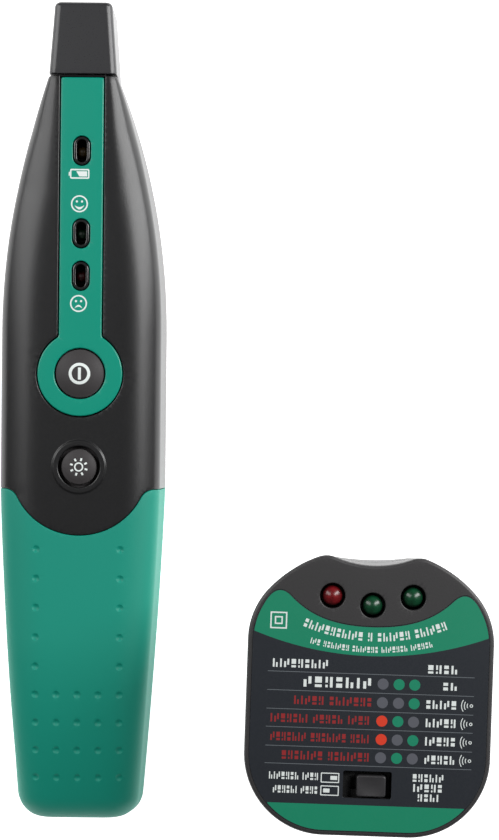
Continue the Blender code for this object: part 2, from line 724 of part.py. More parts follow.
def battery(receiver):
    wide, long, deep = BATTERY_SIZE
    low = (-wide / 2, BATTERY_END - long, BATTERY_LOW)
    high = (wide / 2, BATTERY_END, BATTERY_LOW + deep)
    block = piece("battery_9v", span_box(low, high), receiver, "battery_jacket")
    middle = BATTERY_LOW + deep / 2
    for name, x, radius in (("plus", -0.00635, 0.0029), ("minus", 0.00635, 0.0037)):
        stud = rod_mesh(radius, BATTERY_END - 0.0005, BATTERY_END + 0.0022, "Y", sides=14, centre=(x, middle))
        add(block, "stud_" + name, stud)

    snap_low = (-0.0125, BATTERY_END + 0.0005, middle - 0.0062)
    snap_high = (0.0125, BATTERY_END + 0.0042, middle + 0.0062)
    snap = piece("battery_snap", span_box(snap_low, snap_high), receiver, "component_black")
    for name, x, radius in (("plus", -0.00635, 0.0029), ("minus", 0.00635, 0.0037)):
        socket = rod_mesh(radius + CLEARANCE, BATTERY_END, BATTERY_END + 0.0026, "Y", sides=14,
                          centre=(x, middle))
        cut(snap, "socket_" + name, socket)
    exit_y = BATTERY_END + 0.0042 + CLEARANCE
    for name, x, material in (("red", -0.006, "red_insulation"), ("black", 0.006, "black_insulation")):
        route = [
            (x, exit_y, middle), (x, exit_y + 0.0014, middle + 0.0003), (x, exit_y + 0.0026, middle + 0.0016),
            (x, exit_y + 0.0032, middle + 0.0040), (x, exit_y + 0.0034, BOARD_TOP - BOARD_THICK - 0.0015),
            (x, exit_y + 0.0034, BOARD_TOP - BOARD_THICK - CLEARANCE),
        ]
        lead(f"battery_lead_{name}", route, 0.0007, receiver, material)


def lead(name, route, radius, parent, material):
    """An insulated wire along a smooth curve through the points of its route."""
    points = smooth(route, 3)
    curve = bpy.data.curves.new(name, "CURVE")
    curve.dimensions = "3D"
    curve.bevel_depth = radius
    curve.bevel_resolution = 2
    curve.use_fill_caps = True
    spline = curve.splines.new("POLY")
    spline.points.add(len(points) - 1)
    for target, point in zip(spline.points, points):
        target.co = (*point, 1.0)
    item = bpy.data.objects.new(name, curve)
    item.parent = parent
    bpy.context.scene.collection.objects.link(item)
    curve.materials.append(finish(material))


def smooth(route, steps):
    """Points on a Catmull-Rom curve through the points of a route."""
    ends = [Vector(point) for point in [route[0], *route, route[-1]]]
    points = []
    for a, b, c, d in zip(ends, ends[1:], ends[2:], ends[3:]):
        for i in range(steps):
            t = i / steps
            points.append(
                0.5 * ((2 * b) + (c - a) * t + (2 * a - 5 * b + 4 * c - d) * t ** 2
                       + (3 * b - a - 3 * c + d) * t ** 3)
            )
    points.append(Vector(route[-1]))
    return points


def receiver_screws(receiver):
    for group, places in (("housing", HOUSING_SCREWS), ("grip", GRIP_SCREWS)):
        for number, (x, y) in enumerate(places, 1):
            seat = screw_seat(x, y)
            tip = min(SCREW_TIP, boss_top(x, y) - BORE_COVER - CLEARANCE)
            piece(f"{group}_screw_{number}", screw_mesh(-CLEARANCE - 0.0016, tip - seat), receiver,
                  "zinc_steel", (x, y, seat))


# ---- transmitter -------------------------------------------------------------------------------

def tester_outline(hollow=HOLLOW_FRONT):
    """The transmitter's face, anticlockwise from the right end of its straight base.

    The sides are straight, the lower corners are one arc each, and the upper corners tighten and
    then open into two bumps with a shallow hollow between them. The hollow is given by the slope of
    its flanks, and the arc across it is as wide as what the bumps leave.
    """
    lower = turtle((TESTER_HALF - TESTER_CORNER, TESTER_LOW), 0.0, [(TESTER_CORNER, pi / 2, 8)])
    shoulder = turtle((TESTER_HALF, TESTER_SHOULDER_FROM), pi / 2, TESTER_SHOULDER)
    reach = shoulder[-1][0]
    climb = pi / 2 - sum(turn for _, turn, _ in TESTER_SHOULDER)
    bump = TESTER_BUMPS[hollow]
    dip = (reach - bump * (sin(hollow) + sin(climb))) / sin(hollow)
    top = turtle(shoulder[-1], pi - climb, [(bump, climb + hollow, 4), (dip, -hollow, 4)])
    right = lower + shoulder + top[1:-1]
    left = [(-x, y) for x, y in reversed(right)]
    return [*right, (0.0, top[-1][1]), *left]


def tester_ring(z, shrink):
    """The outline at a height: drawn in by the draft towards the back, where the hollow is shallower."""
    share = (TESTER_FACE - z) / (TESTER_FACE - TESTER_BACK)
    front = tester_outline(HOLLOW_FRONT)
    back = tester_outline(HOLLOW_BACK)
    blend = [(a[0] + (b[0] - a[0]) * share, a[1] + (b[1] - a[1]) * share) for a, b in zip(front, back)]
    return [(x, y, z) for x, y in inset(blend, shrink + TESTER_DRAFT * share)]


def tester_shell(rings):
    """A solid through rings of the outline, each given by its height and how far it is drawn in."""
    return loft_mesh([tester_ring(z, shrink) for z, shrink in rings])


def label_outline(margin):
    """The label on the face: inside the outline, and cut off above by an arc under the lamps."""
    radius = LABEL_ARC + margin
    end = asin(LABEL_ARC_HALF / radius)
    arch = arc((0.0, LABEL_ARC_LOW + LABEL_ARC), radius, -pi / 2 + end, -pi / 2 - end, 12)
    rounding = arc(LABEL_LOBE, LABEL_LOBE_RADIUS - margin, radians(40), radians(115), 4)
    edge = inset(tester_outline(), LABEL_INSET + margin)
    low_edge = [point for point in edge if point[1] < LABEL_LOBE[1] - 2 * LABEL_LOBE_RADIUS]
    right = [point for point in low_edge if point[0] > 0.0]
    left = [point for point in low_edge if point[0] < 0.0]
    return right + rounding + arch + [(-x, y) for x, y in reversed(rounding)] + left


def add_tester_bosses(cover, base):
    for number, (x, y) in enumerate(TESTER_SCREWS, 1):
        foot = TESTER_PARTING + CLEARANCE
        add(cover, f"cover_boss_{number}",
            rod_mesh(BOSS_RADIUS, foot, TESTER_FACE - 0.0012, sides=10, centre=(x, y)))
        cut(cover, f"cover_bore_{number}",
            rod_mesh(SCREW_SHAFT + CLEARANCE, foot - 0.001, TESTER_FACE - 0.0035, sides=8, centre=(x, y)))
        seat = TESTER_BACK + 0.0050
        add(base, f"base_boss_{number}",
            rod_mesh(HEAD_BORE + 0.0008, TESTER_BACK + 0.0008, TESTER_PARTING - CLEARANCE, sides=12,
                     centre=(x, y)))
        cut(base, f"base_head_{number}",
            rod_mesh(HEAD_BORE, TESTER_BACK - 0.002, seat, sides=12, centre=(x, y)))
        cut(base, f"base_bore_{number}",
            rod_mesh(SCREW_SHAFT + CLEARANCE, seat - 0.001, TESTER_PARTING + 0.001, sides=8, centre=(x, y)))


def tester_casings(tester):
    face = TESTER_FACE
    low = TESTER_PARTING + CLEARANCE / 2
    cover_rings = [(low, 0.0), (face - 0.0009, 0.0), (face - 0.0003, 0.0003), (face, 0.0009)]
    cover = piece("tester_cover", tester_shell(cover_rings), tester, "black_plastic")
    cut(cover, "cover_cavity", tester_shell([(low - 0.001, TESTER_WALL), (face - 0.0024, TESTER_WALL)]))
    high = TESTER_PARTING - CLEARANCE / 2
    back = TESTER_BACK
    base_rings = [(back, 0.0018), (back + 0.0006, 0.0007), (back + 0.0020, 0.0), (high, 0.0)]
    base = piece("tester_base", tester_shell(base_rings), tester, "black_plastic")
    cut(base, "base_cavity", tester_shell([(back + 0.0020, 0.0030), (high + 0.001, TESTER_WALL)]))
    add_tester_bosses(cover, base)
    cut(base, "plug_opening", rod_mesh(0.0140, TESTER_BACK - 0.002, TESTER_BACK + 0.004, sides=24))
    cut(cover, "label_recess", plate_mesh(label_outline(-CLEARANCE), face - 0.0006, face + 0.001))
    x, y = SLOT_PLACE
    wide, long = SLOT_SIZE
    slot = span_box((x - wide / 2, y - long / 2, face - 0.005), (x + wide / 2, y + long / 2, face + 0.001))
    cut(cover, "switch_slot", slot)
    for name, place in TESTER_LEDS.items():
        cut(cover, "hole_" + name,
            rod_mesh(TESTER_LED_HOLE, face - 0.005, face + 0.001, sides=20, centre=place))


def face_label(tester):
    low = TESTER_FACE - LABEL_THICK
    label = piece("face_label", plate_mesh(label_outline(0.0), low, TESTER_FACE + 0.0001), tester, "label_film")
    x, y = SLOT_PLACE
    wide, long = SLOT_SIZE
    slot = span_box((x - wide / 2, y - long / 2, low - 0.001), (x + wide / 2, y + long / 2, low + 0.002))
    cut(label, "label_slot", slot)


def tester_lamps(tester):
    foot = TESTER_BOARD_LOW + BOARD_THICK + CLEARANCE
    radius = TESTER_LED_RADIUS
    top = TESTER_FACE + 0.0006
    dome = [(radius * sin(a), top - radius + radius * cos(a)) for a in [i * pi / 8 for i in range(5)]]
    profile = [*dome, (radius, foot + 0.0010), (radius + 0.0004, foot + 0.0010), (radius + 0.0004, foot),
               (0.0, foot)]
    for name, (x, y) in TESTER_LEDS.items():
        lens = "red_lens" if name == "red" else "green_lens"
        piece(f"tester_led_{name}", turned_mesh(profile, sides=18), tester, lens, (x, y, 0.0))


def mode_switch(tester):
    """The slide switch: its knob's origin is at its centre in the slot, on the face."""
    foot = TESTER_BOARD_LOW + BOARD_THICK + CLEARANCE
    x, y = KNOB_PLACE
    top = TESTER_FACE - SWITCH_BODY_DROP
    middle = x - KNOB_TRAVEL / 2
    half_x, half_y = SWITCH_BODY_HALF
    body = piece("mode_switch_body",
                 span_box((middle - half_x, y - half_y, foot), (middle + half_x, y + half_y, top)),
                 tester, "component_black")
    stem_x, stem_y = KNOB_STEM_HALF
    reach_x, reach_y = KNOB_TRAVEL / 2 + stem_x + CLEARANCE, stem_y + CLEARANCE
    cut(body, "switch_track", span_box((middle - reach_x, y - reach_y, top - 0.0022),
                                       (middle + reach_x, y + reach_y, top + 0.001)))
    wide, long = KNOB_SIZE
    cap = span_box((-wide / 2, -long / 2, -0.0036), (wide / 2, long / 2, 0.0002))
    knob = piece("mode_switch_knob", cap, tester, "dark_grey_plastic", (x, y, TESTER_FACE))
    add(knob, "knob_stem", span_box((x - stem_x, y - stem_y, top - 0.0018),
                                    (x + stem_x, y + stem_y, TESTER_FACE - 0.003)))


def tester_inside(tester):
    low = TESTER_BOARD_LOW
    board = piece("tester_board", plate_mesh(inset(tester_outline(), 0.0032), low, low + BOARD_THICK),
                  tester, "board_laminate")
    for number, place in enumerate(TESTER_SCREWS, 1):
        cut(board, f"board_hole_{number}",
            rod_mesh(BOSS_RADIUS + CLEARANCE, low - 0.001, low + 0.003, sides=12, centre=place))
    under = low - CLEARANCE
    piece("tester_buzzer", rod_mesh(0.0060, -0.0060, 0.0, sides=20), tester, "component_black",
          (0.0130, 0.0030, under))
    piece("fuse", rod_mesh(0.0025, -0.0100, 0.0100, "X", sides=16), tester, "fuse_glass",
          (0.0, -0.0240, under - 0.0026))
    piece("dropper_capacitor", box_mesh((0.018, 0.008, 0.0105)), tester, "film_capacitor",
          (-0.0100, 0.0080, under - 0.00535))
    for number, (x, y) in enumerate(TESTER_SCREWS, 1):
        seat = TESTER_BACK + 0.0050
        piece(f"tester_screw_{number}", screw_mesh(-CLEARANCE - 0.0016, 0.0600 - seat), tester,
              "zinc_steel", (x, y, seat))


def plug(tester):
    """The round mains plug on the back, with two pins and an earth clip in a groove at each side."""
    low = PLUG_LOW
    high = TESTER_BACK - CLEARANCE
    profile = [(0.0, high), (PLUG_RADIUS, high), (PLUG_RADIUS, low + 0.0012), (PLUG_RADIUS - 0.0012, low),
               (0.0, low)]
    body = piece("plug_body", turned_mesh(profile, sides=32), tester, "black_plastic")
    for side, sign in (("upper", 1), ("lower", -1)):
        near = sorted((sign * (PLUG_RADIUS - 0.0030), sign * (PLUG_RADIUS + 0.002)))
        cut(body, "groove_" + side, span_box((-0.0035, near[0], low - 0.001), (0.0035, near[1], high - 0.003)))
        clip = box_mesh((0.0045, 0.0012, 0.0120), (0.0, 0.0, 0.0))
        piece(f"earth_clip_{side}", clip, tester, "nickel_brass",
              (0.0, sign * (PLUG_RADIUS - 0.0018), low + 0.0070))
    pin_profile = [(0.0, PIN_TOP), (PIN_RADIUS, PIN_TOP), (PIN_RADIUS, 0.0016), (PIN_RADIUS * 0.55, 0.0),
                   (0.0, 0.0)]
    for name, sign in (("live_pin", 1), ("neutral_pin", -1)):
        x = sign * PIN_SPACING / 2
        cut(body, "bore_" + name,
            rod_mesh(PIN_RADIUS + CLEARANCE, low - 0.001, high + 0.001, sides=16, centre=(x, 0.0)))
        piece(name, turned_mesh(pin_profile, sides=16), tester, "nickel_brass", (x, 0.0, 0.0))


# ---- the pair ----------------------------------------------------------------------------------

def main():
    clear_scene()
    receiver = empty("receiver", RECEIVER_PLACE)
    receiver_casings(receiver)
    battery_door(receiver)
    sensor_nose(receiver)
    indicator_strip(receiver)
    for name, lens in (("battery", "amber_lens"), ("found", "green_lens"), ("search", "red_lens")):
        indicator(name, WINDOW_PLACES[name], lens, receiver)
    button("power", POWER_Y, POWER_RADIUS, POWER_RADIUS + 0.0004, 0.0012, receiver)
    button("lamp", LAMP_Y, LAMP_RADIUS, LAMP_HOLE, 0.0007, receiver)
    receiver_board(receiver)
    sensor_coil(receiver)
    battery(receiver)
    receiver_screws(receiver)

    tester = empty("tester", TRANSMITTER_PLACE, TRANSMITTER_TURN)
    tester_casings(tester)
    face_label(tester)
    tester_lamps(tester)
    mode_switch(tester)
    tester_inside(tester)
    plug(tester)


main()
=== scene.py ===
# Looks of a circuit breaker finder: a hand-held receiver, and the plug-in transmitter that goes with it.
# Each unit has its own axes. Its pieces are worked out there in millimetres and then placed on the model.
from math import atan2, degrees, pi, radians, sqrt

import bmesh
import bpy
import numpy as np
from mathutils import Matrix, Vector
from mathutils.geometry import delaunay_2d_cdt


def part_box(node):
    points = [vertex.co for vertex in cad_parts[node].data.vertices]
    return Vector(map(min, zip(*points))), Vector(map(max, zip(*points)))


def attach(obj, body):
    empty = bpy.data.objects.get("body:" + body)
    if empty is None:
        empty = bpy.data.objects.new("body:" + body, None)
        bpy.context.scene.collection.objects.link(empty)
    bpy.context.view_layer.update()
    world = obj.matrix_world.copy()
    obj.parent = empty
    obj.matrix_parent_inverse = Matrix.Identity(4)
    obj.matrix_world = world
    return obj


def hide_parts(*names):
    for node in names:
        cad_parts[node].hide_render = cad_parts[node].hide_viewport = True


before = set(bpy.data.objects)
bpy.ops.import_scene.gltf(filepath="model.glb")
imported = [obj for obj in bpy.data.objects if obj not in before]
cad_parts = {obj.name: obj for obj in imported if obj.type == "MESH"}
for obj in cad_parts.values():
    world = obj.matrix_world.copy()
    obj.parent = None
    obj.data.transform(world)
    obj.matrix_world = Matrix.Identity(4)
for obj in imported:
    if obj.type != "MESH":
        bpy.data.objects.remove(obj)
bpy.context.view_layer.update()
mm = 0.001
print("frame loaded:", len(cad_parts), "nodes")


# The camera looks straight down on the pair, turned by a hair.
view = {"x": 2.9, "y": -1.6, "height": 620.0, "lens": 95.36, "turn": 0.55}


def addCamera():
    data = bpy.data.cameras.new("camera")
    data.lens = view["lens"]
    camera = bpy.data.objects.new("camera", data)
    camera.location = (view["x"] * mm, view["y"] * mm, view["height"] * mm)
    camera.rotation_euler = (0.0, 0.0, radians(view["turn"]))
    bpy.context.scene.collection.objects.link(camera)
    bpy.context.scene.camera = camera


def middle(node):
    low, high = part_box(node)
    return (low + high) / 2


def placeOf(origin, turn):
    return {"x": origin.x, "y": origin.y, "turn": turn}


# The receiver's y is the model's own. The transmitter's origin is half way between its pins.
powerMiddle = middle("power_button")
receiverPlace = placeOf(Vector((powerMiddle.x, 0.0, 0.0)), 0.0)
pinLine = middle("live_pin") - middle("neutral_pin")
testerPlace = placeOf((middle("live_pin") + middle("neutral_pin")) / 2, atan2(pinLine.y, pinLine.x))


def placeFor(bodyName):
    return testerPlace if bodyName in ("transmitter", "mode_switch") else receiverPlace


def placed(points, place):
    # a turn about the unit's origin and a shift, from millimetres to the model's metres
    x, y, z = np.asarray(points, float).T * mm
    c, s = np.cos(place["turn"]), np.sin(place["turn"])
    return np.stack([place["x"] + c * x - s * y, place["y"] + s * x + c * y, z], axis=1)


def spotOf(node, place):
    # the plan position of a node's middle in a unit's own millimetres: the placing, backwards
    centre = middle(node)
    dx, dy = centre.x - place["x"], centre.y - place["y"]
    c, s = np.cos(place["turn"]), np.sin(place["turn"])
    return np.array([c * dx + s * dy, c * dy - s * dx]) / mm


def heightsOf(node):
    low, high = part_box(node)
    return low.z / mm, high.z / mm


# Outlines are arrays of plan points, and a closed one doesn't repeat its first point.

def arc(centre, radius, start, end, steps):
    # points on a circle from one angle to another, in degrees, with both ends
    angle = np.radians(np.linspace(start, end, steps + 1))
    return np.stack([centre[0] + radius * np.cos(angle), centre[1] + radius * np.sin(angle)], axis=1)


def circle(centre, radius, steps=48):
    return arc(centre, radius, 0, 360, steps)[:-1]


def atHeight(loop, z):
    # plan points at one height
    return np.column_stack([loop, np.full(len(loop), z)])


def slotShape(centre, halfX, halfY, steps=14):
    # a slot with round ends, long along y
    x, y = centre
    reach = halfY - halfX
    return np.concatenate([arc((x, y + reach), halfX, 0, 180, steps),
                           arc((x, y - reach), halfX, 180, 360, steps)])


def roundedBox(centre, halfX, halfY, radius, steps=6):
    corners = ((1, -1, -90), (1, 1, 0), (-1, 1, 90), (-1, -1, 180))
    x, y = centre
    return np.concatenate([
        arc((x + sx * (halfX - radius), y + sy * (halfY - radius)), radius, angle, angle + 90, steps)
        for sx, sy, angle in corners
    ])


def arcPath(start, heading, moves):
    # a path of arcs, each one a radius, a turn in degrees (left if positive) and a number of steps
    pieces = [np.array([start], float)]
    for radius, turn, steps in moves:
        side = np.sign(turn)
        angles = np.radians(heading + turn * np.arange(1, steps + 1) / steps)
        x, y = pieces[-1][-1]
        first = radians(heading)
        pieces.append(np.stack([
            x + side * radius * (np.sin(angles) - np.sin(first)),
            y - side * radius * (np.cos(angles) - np.cos(first)),
        ], axis=1))
        heading += turn
    return np.concatenate(pieces)


def dense(loop, step):
    # the loop with points added along its sides, none further apart than the step
    side = np.roll(loop, -1, axis=0) - loop
    counts = np.maximum(np.ceil(np.linalg.norm(side, axis=1) / step).astype(int), 1)
    firsts = np.cumsum(counts) - counts
    share = (np.arange(counts.sum()) - np.repeat(firsts, counts)) / np.repeat(counts, counts)
    return np.repeat(loop, counts, axis=0) + np.repeat(side, counts, axis=0) * share[:, None]


def inset(loop, distance):
    # each point of an anticlockwise loop moved inwards, square to the line between its neighbours
    along = np.roll(loop, -1, axis=0) - np.roll(loop, 1, axis=0)
    along /= np.linalg.norm(along, axis=1)[:, None]
    return loop + distance * np.stack([-along[:, 1], along[:, 0]], axis=1)


def oriented(loop, anticlockwise):
    after = np.roll(loop, -1, axis=0)
    area = (loop[:, 0] * after[:, 1] - after[:, 0] * loop[:, 1]).sum()
    return loop if (area > 0) == anticlockwise else loop[::-1]


def inside(points, loop):
    # even-odd rule: how many sides of the loop a line from the point to the right crosses
    x, y = points[:, :1], points[:, 1:]
    x1, y1 = loop.T
    x2, y2 = np.roll(loop, -1, axis=0).T
    crosses = (y1 > y) != (y2 > y)
    where = x1 + (x2 - x1) * (y - y1) / np.where(y2 == y1, 1.0, y2 - y1)
    return (crosses & (x < where)).sum(axis=1) % 2 == 1


def triangulate(loops, spacing, marks=(), extra=None):
    # Delaunay triangles over a flat region: inside the first loop and outside the other ones. A mark is
    # a colour number with its own loops, and the triangles that it covers take that number.
    shapes = [*loops, *[loop for _, group in marks for loop in group]]
    counts = [len(shape) for shape in shapes]
    starts = np.cumsum([0, *counts])
    edges = np.concatenate([
        start + np.stack([np.arange(count), np.roll(np.arange(count), -1)], axis=1)
        for start, count in zip(starts, counts)
    ])
    fixed = np.concatenate(shapes if extra is None else [*shapes, extra])
    low, high = loops[0].min(axis=0), loops[0].max(axis=0)
    rows = np.arange(low[1], high[1], spacing * sqrt(3) / 2)
    columns = np.arange(low[0], high[0], spacing)
    x = columns[None, :] + np.where(np.arange(len(rows)) % 2, spacing / 2, 0.0)[:, None]
    grid = np.stack([x.ravel(), np.repeat(rows, len(columns))], axis=1)
    # a grid point near a fixed one is left out: both are looked up in square cells of half a spacing,
    # each cell by one number
    cell = spacing * 0.5
    blocked = np.floor(fixed / cell).astype(np.int64)
    around = np.array([(i, j) for i in (-1, 0, 1) for j in (-1, 0, 1)])
    blocked = (blocked[:, None, :] + around[None]).reshape(-1, 2)
    stride = 100003
    taken = np.isin(np.floor(grid / cell).astype(np.int64) @ (stride, 1), blocked @ (stride, 1))
    grid = grid[~taken & inside(grid, loops[0])]
    points = np.concatenate([fixed, grid])
    found = delaunay_2d_cdt([Vector(point) for point in points], edges.tolist(), [], 0, 1e-6)
    corners = np.array([tuple(corner) for corner in found[0]])
    triangles = np.array(found[2])
    lengths = [len(sources) for sources in found[3]]
    now = np.zeros(len(points), int)
    now[np.concatenate([np.array(sources, int) for sources in found[3]])] = np.repeat(
        np.arange(len(corners)), lengths)
    centres = corners[triangles].mean(axis=1)
    keep = inside(centres, loops[0])
    for hole in loops[1:]:
        keep &= ~inside(centres, hole)
    triangles, centres = triangles[keep], centres[keep]
    colours = np.zeros(len(triangles), int)
    for number, group in marks:
        covered = np.zeros(len(triangles), bool)
        for loop in group:
            covered ^= inside(centres, loop)
        colours[covered] = number
    rims = [now[start:start + count] for start, count in zip(starts, counts)][:len(loops)]
    return corners, triangles, colours, rims


def unit(vectors):
    return vectors / np.maximum(np.linalg.norm(vectors, axis=1), 1e-9)[:, None]


def facing(lift, flat):
    # the surface's normals, from its slopes along the region's two axes
    step = 0.02
    alongX = lift(flat + (step, 0.0)) - lift(flat - (step, 0.0))
    alongY = lift(flat + (0.0, step)) - lift(flat - (0.0, step))
    return unit(np.cross(alongX, alongY))


def bead(radius, steps=4):
    # a quarter-round edge as (outward, down) steps
    angle = np.linspace(0, pi / 2, steps + 1)[1:]
    return np.stack([radius * np.sin(angle), radius * (1 - np.cos(angle))], axis=1).tolist()


def shell(loops, lift, walls, depth, spacing, marks=(), extra=None):
    # A closed shell over a flat region. lift turns the region into the outer face, and the inner face
    # lies at one depth under it. Each loop has a wall that joins the two faces: (outward, down) steps from
    # the rim, or a function of the rim, its outward and its upward directions, or finished rows of points.
    loops = [oriented(loop, number == 0) for number, loop in enumerate(loops)]
    flat, triangles, colours, rims = triangulate(loops, spacing, marks, extra)
    outer, up = lift(flat), facing(lift, flat)
    points = [outer, outer - up * depth]
    faces = [triangles, triangles[:, ::-1] + len(outer)]
    numbers = [colours, np.zeros(len(triangles), int)]
    count = 2 * len(outer)
    for rim, wall in zip(rims, walls):
        edge, upward = outer[rim], up[rim]
        outward = unit(np.cross(np.roll(edge, -1, axis=0) - np.roll(edge, 1, axis=0), upward))
        if callable(wall):
            rows = wall(edge, outward, upward)
        elif np.ndim(wall[0]) == 1:
            rows = [edge + outward * out - upward * down for out, down in wall]
        else:
            rows = wall
        size = len(rim)
        chain = [rim, *[count + size * k + np.arange(size) for k in range(len(rows))], rim + len(outer)]
        points += rows
        count += size * len(rows)
        for near, far in zip(chain, chain[1:]):
            faces.append(np.stack([near, np.roll(near, -1), np.roll(far, -1), far], axis=1))
            numbers.append(np.zeros(size, int))
    return np.concatenate(points), faces, numbers


def swept(rings, closed=True):
    # A surface over a grid of points, ring after ring. Rings are closed, and the two ends are capped.
    rings = np.asarray(rings, float)
    rows, columns = rings.shape[:2]
    index = np.arange(rows * columns).reshape(rows, columns)
    near, far = index[:-1], index[1:]
    sides = np.stack([near, np.roll(near, -1, 1), np.roll(far, -1, 1), far], axis=2).reshape(-1, 4)
    faces = [sides, index[:1, ::-1], index[-1:]] if closed else [sides]
    return rings.reshape(-1, 3), faces, [np.zeros(len(part), int) for part in faces]


def turnedShape(profile, steps=48, centre=(0.0, 0.0), relief=None):
    # A profile of (radius, height) swept about a vertical axis; relief lowers points by their plan place.
    radius, height = np.array(profile, float).T
    angle = np.linspace(0, 2 * pi, steps, endpoint=False)
    x, y = radius[:, None] * np.cos(angle), radius[:, None] * np.sin(angle)
    z = np.repeat(height[:, None], steps, axis=1)
    if relief is not None:
        z = z - relief(x, y, z)
    return swept(np.stack([x + centre[0], y + centre[1], z], axis=2), closed=False)


def filleted(corners, steps=5):
    # a profile through corners of (radius, height, rounding), each rounding a smooth quadratic bend
    path = np.array(corners, float)
    points, round_ = path[:, :2], path[:, 2]
    share = np.linspace(0, 1, steps + 1)[:, None]
    out = [points[:1]]
    for before, here, after, size in zip(points, points[1:], points[2:], round_[1:]):
        if size == 0:
            out.append(here[None])
            continue
        start = here + (before - here) / np.linalg.norm(before - here) * size
        end = here + (after - here) / np.linalg.norm(after - here) * size
        out.append(start * (1 - share) ** 2 + here * 2 * share * (1 - share) + end * share ** 2)
    return np.concatenate([*out, points[-1:]])


def turnedToY(solid):
    # a solid that stands along z, laid along +y
    points, faces, numbers = solid
    x, y, z = points.T
    return np.stack([x, z, -y], axis=1), faces, numbers


def shifted(solid, shift):
    return solid[0] + np.asarray(shift, float), solid[1], solid[2]


def addPiece(node, ending, solids, bodyName, finishes):
    # Solids that belong to one piece share its mesh, which stands for a node of the model and is named
    # after it. Doubles are merged before the faces are turned out.
    name = node + "_" + ending
    points, faces, numbers, count = [], [], [], 0
    for corners, parts, colours in solids:
        points.append(corners)
        for part, colour in zip(parts, colours):
            faces += (part + count).tolist()
            numbers.append(colour)
        count += len(corners)
    mesh = bpy.data.meshes.new(name)
    mesh.from_pydata(placed(np.concatenate(points), placeFor(bodyName)), [], faces)
    for material in finishes:
        mesh.materials.append(material)
    mesh.polygons.foreach_set("material_index", np.concatenate(numbers))
    work = bmesh.new()
    work.from_mesh(mesh)
    bmesh.ops.remove_doubles(work, verts=work.verts, dist=2e-7)
    bmesh.ops.dissolve_degenerate(work, edges=work.edges, dist=1e-7)
    bmesh.ops.recalc_face_normals(work, faces=work.faces)
    work.to_mesh(mesh)
    work.free()
    mesh.shade_smooth()
    mesh.set_sharp_from_angle(angle=radians(40))
    piece = bpy.data.objects.new(name, mesh)
    bpy.context.scene.collection.objects.link(piece)
    weighted = piece.modifiers.new("flat faces stay flat", "WEIGHTED_NORMAL")
    weighted.keep_sharp = True
    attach(piece, bodyName)
    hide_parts(node)


def linear(colour):
    # an sRGB hex colour as the linear values that the shaders work in
    parts = np.array([int(colour[i:i + 2], 16) for i in (1, 3, 5)]) / 255
    parts = np.where(parts <= 0.04045, parts / 12.92, ((parts + 0.055) / 1.055) ** 2.4)
    return (*parts, 1.0)


def addNode(material, kind, inputs=None, **settings):
    # adds a node; an input is a value, or another node's output to link
    tree = material.node_tree
    made = tree.nodes.new(kind)
    for name, value in settings.items():
        setattr(made, name, value)
    for name, value in (inputs or {}).items():
        if isinstance(value, bpy.types.NodeSocket):
            tree.links.new(value, made.inputs[name])
        else:
            made.inputs[name].default_value = value
    return made


def newMaterial(name):
    # an empty material, and the output that textures take their place from
    material = bpy.data.materials.new(name)
    material.use_nodes = True
    material.node_tree.nodes.clear()
    return material, addNode(material, "ShaderNodeTexCoord").outputs["Object"]


def surface(name, finish):
    # A finish from its dictionary: a colour that drifts between two close tones, a grain that is raised and
    # also varies the gloss, and the shader's own values for the rest. Grain and drift are in millimetres.
    material, place = newMaterial(name)
    drift = addNode(material, "ShaderNodeTexNoise", {
        "Vector": place, "Scale": 1 / (finish["drift"] * mm), "Detail": 3.0, "Roughness": 0.55})
    tones = addNode(material, "ShaderNodeMix", {
        "Factor": drift.outputs["Fac"], "A": linear(finish["colour"]), "B": linear(finish["tone"])},
        data_type="RGBA")
    grain = addNode(material, "ShaderNodeTexNoise", {
        "Vector": place, "Scale": 1 / (finish["grain"] * mm), "Detail": 2.0, "Roughness": 0.5})
    low, high = finish["gloss"]
    gloss = addNode(material, "ShaderNodeMapRange", {
        "Value": grain.outputs["Fac"], "From Min": 0.3, "From Max": 0.7, "To Min": low, "To Max": high})
    raised = addNode(material, "ShaderNodeBump", {
        "Height": grain.outputs["Fac"], "Strength": finish["raise"], "Distance": 0.05 * mm})
    shader = addNode(material, "ShaderNodeBsdfPrincipled", {
        "Base Color": tones.outputs["Result"], "Roughness": gloss.outputs["Result"],
        "Normal": raised.outputs["Normal"], **finish.get("shader", {})})
    addNode(material, "ShaderNodeOutputMaterial", {"Surface": shader.outputs["BSDF"]})
    return material


absGloss = {"IOR": 1.53}
# spark-eroded ABS: a satin black that shows soft, broad streaks where it turns away
blackAbs = surface("black ABS, spark eroded", {
    "colour": "#1c1c1d", "tone": "#202021", "drift": 18, "grain": 0.35, "gloss": (0.28, 0.35), "raise": 0.25,
    "shader": absGloss})
# the nose is a finer and slightly greyer moulding, so its flat face looks even
greyAbs = surface("dark grey ABS, fine texture", {
    "colour": "#333335", "tone": "#373739", "drift": 14, "grain": 0.28, "gloss": (0.27, 0.33), "raise": 0.12,
    "shader": absGloss})
# the transmitter's cover is textured a little coarser and reads as a warm dark grey
greyCover = surface("dark grey ABS, spark eroded", {
    "colour": "#302f30", "tone": "#343334", "drift": 16, "grain": 0.4, "gloss": (0.42, 0.5), "raise": 0.3,
    "shader": absGloss})
knobAbs = surface("black ABS, satin", {
    "colour": "#2e2d2f", "tone": "#343335", "drift": 4, "grain": 0.25, "gloss": (0.36, 0.44), "raise": 0.15,
    "shader": absGloss})
# soft-touch elastomer moulded over the grip: no sharp reflections, only a pale bloom on its sides
greenGrip = surface("green TPE, soft touch", {
    "colour": "#048f7a", "tone": "#06937e", "drift": 25, "grain": 0.4, "gloss": (0.5, 0.58), "raise": 0.2,
    "shader": {"IOR": 1.5, "Specular IOR Level": 0.42}})
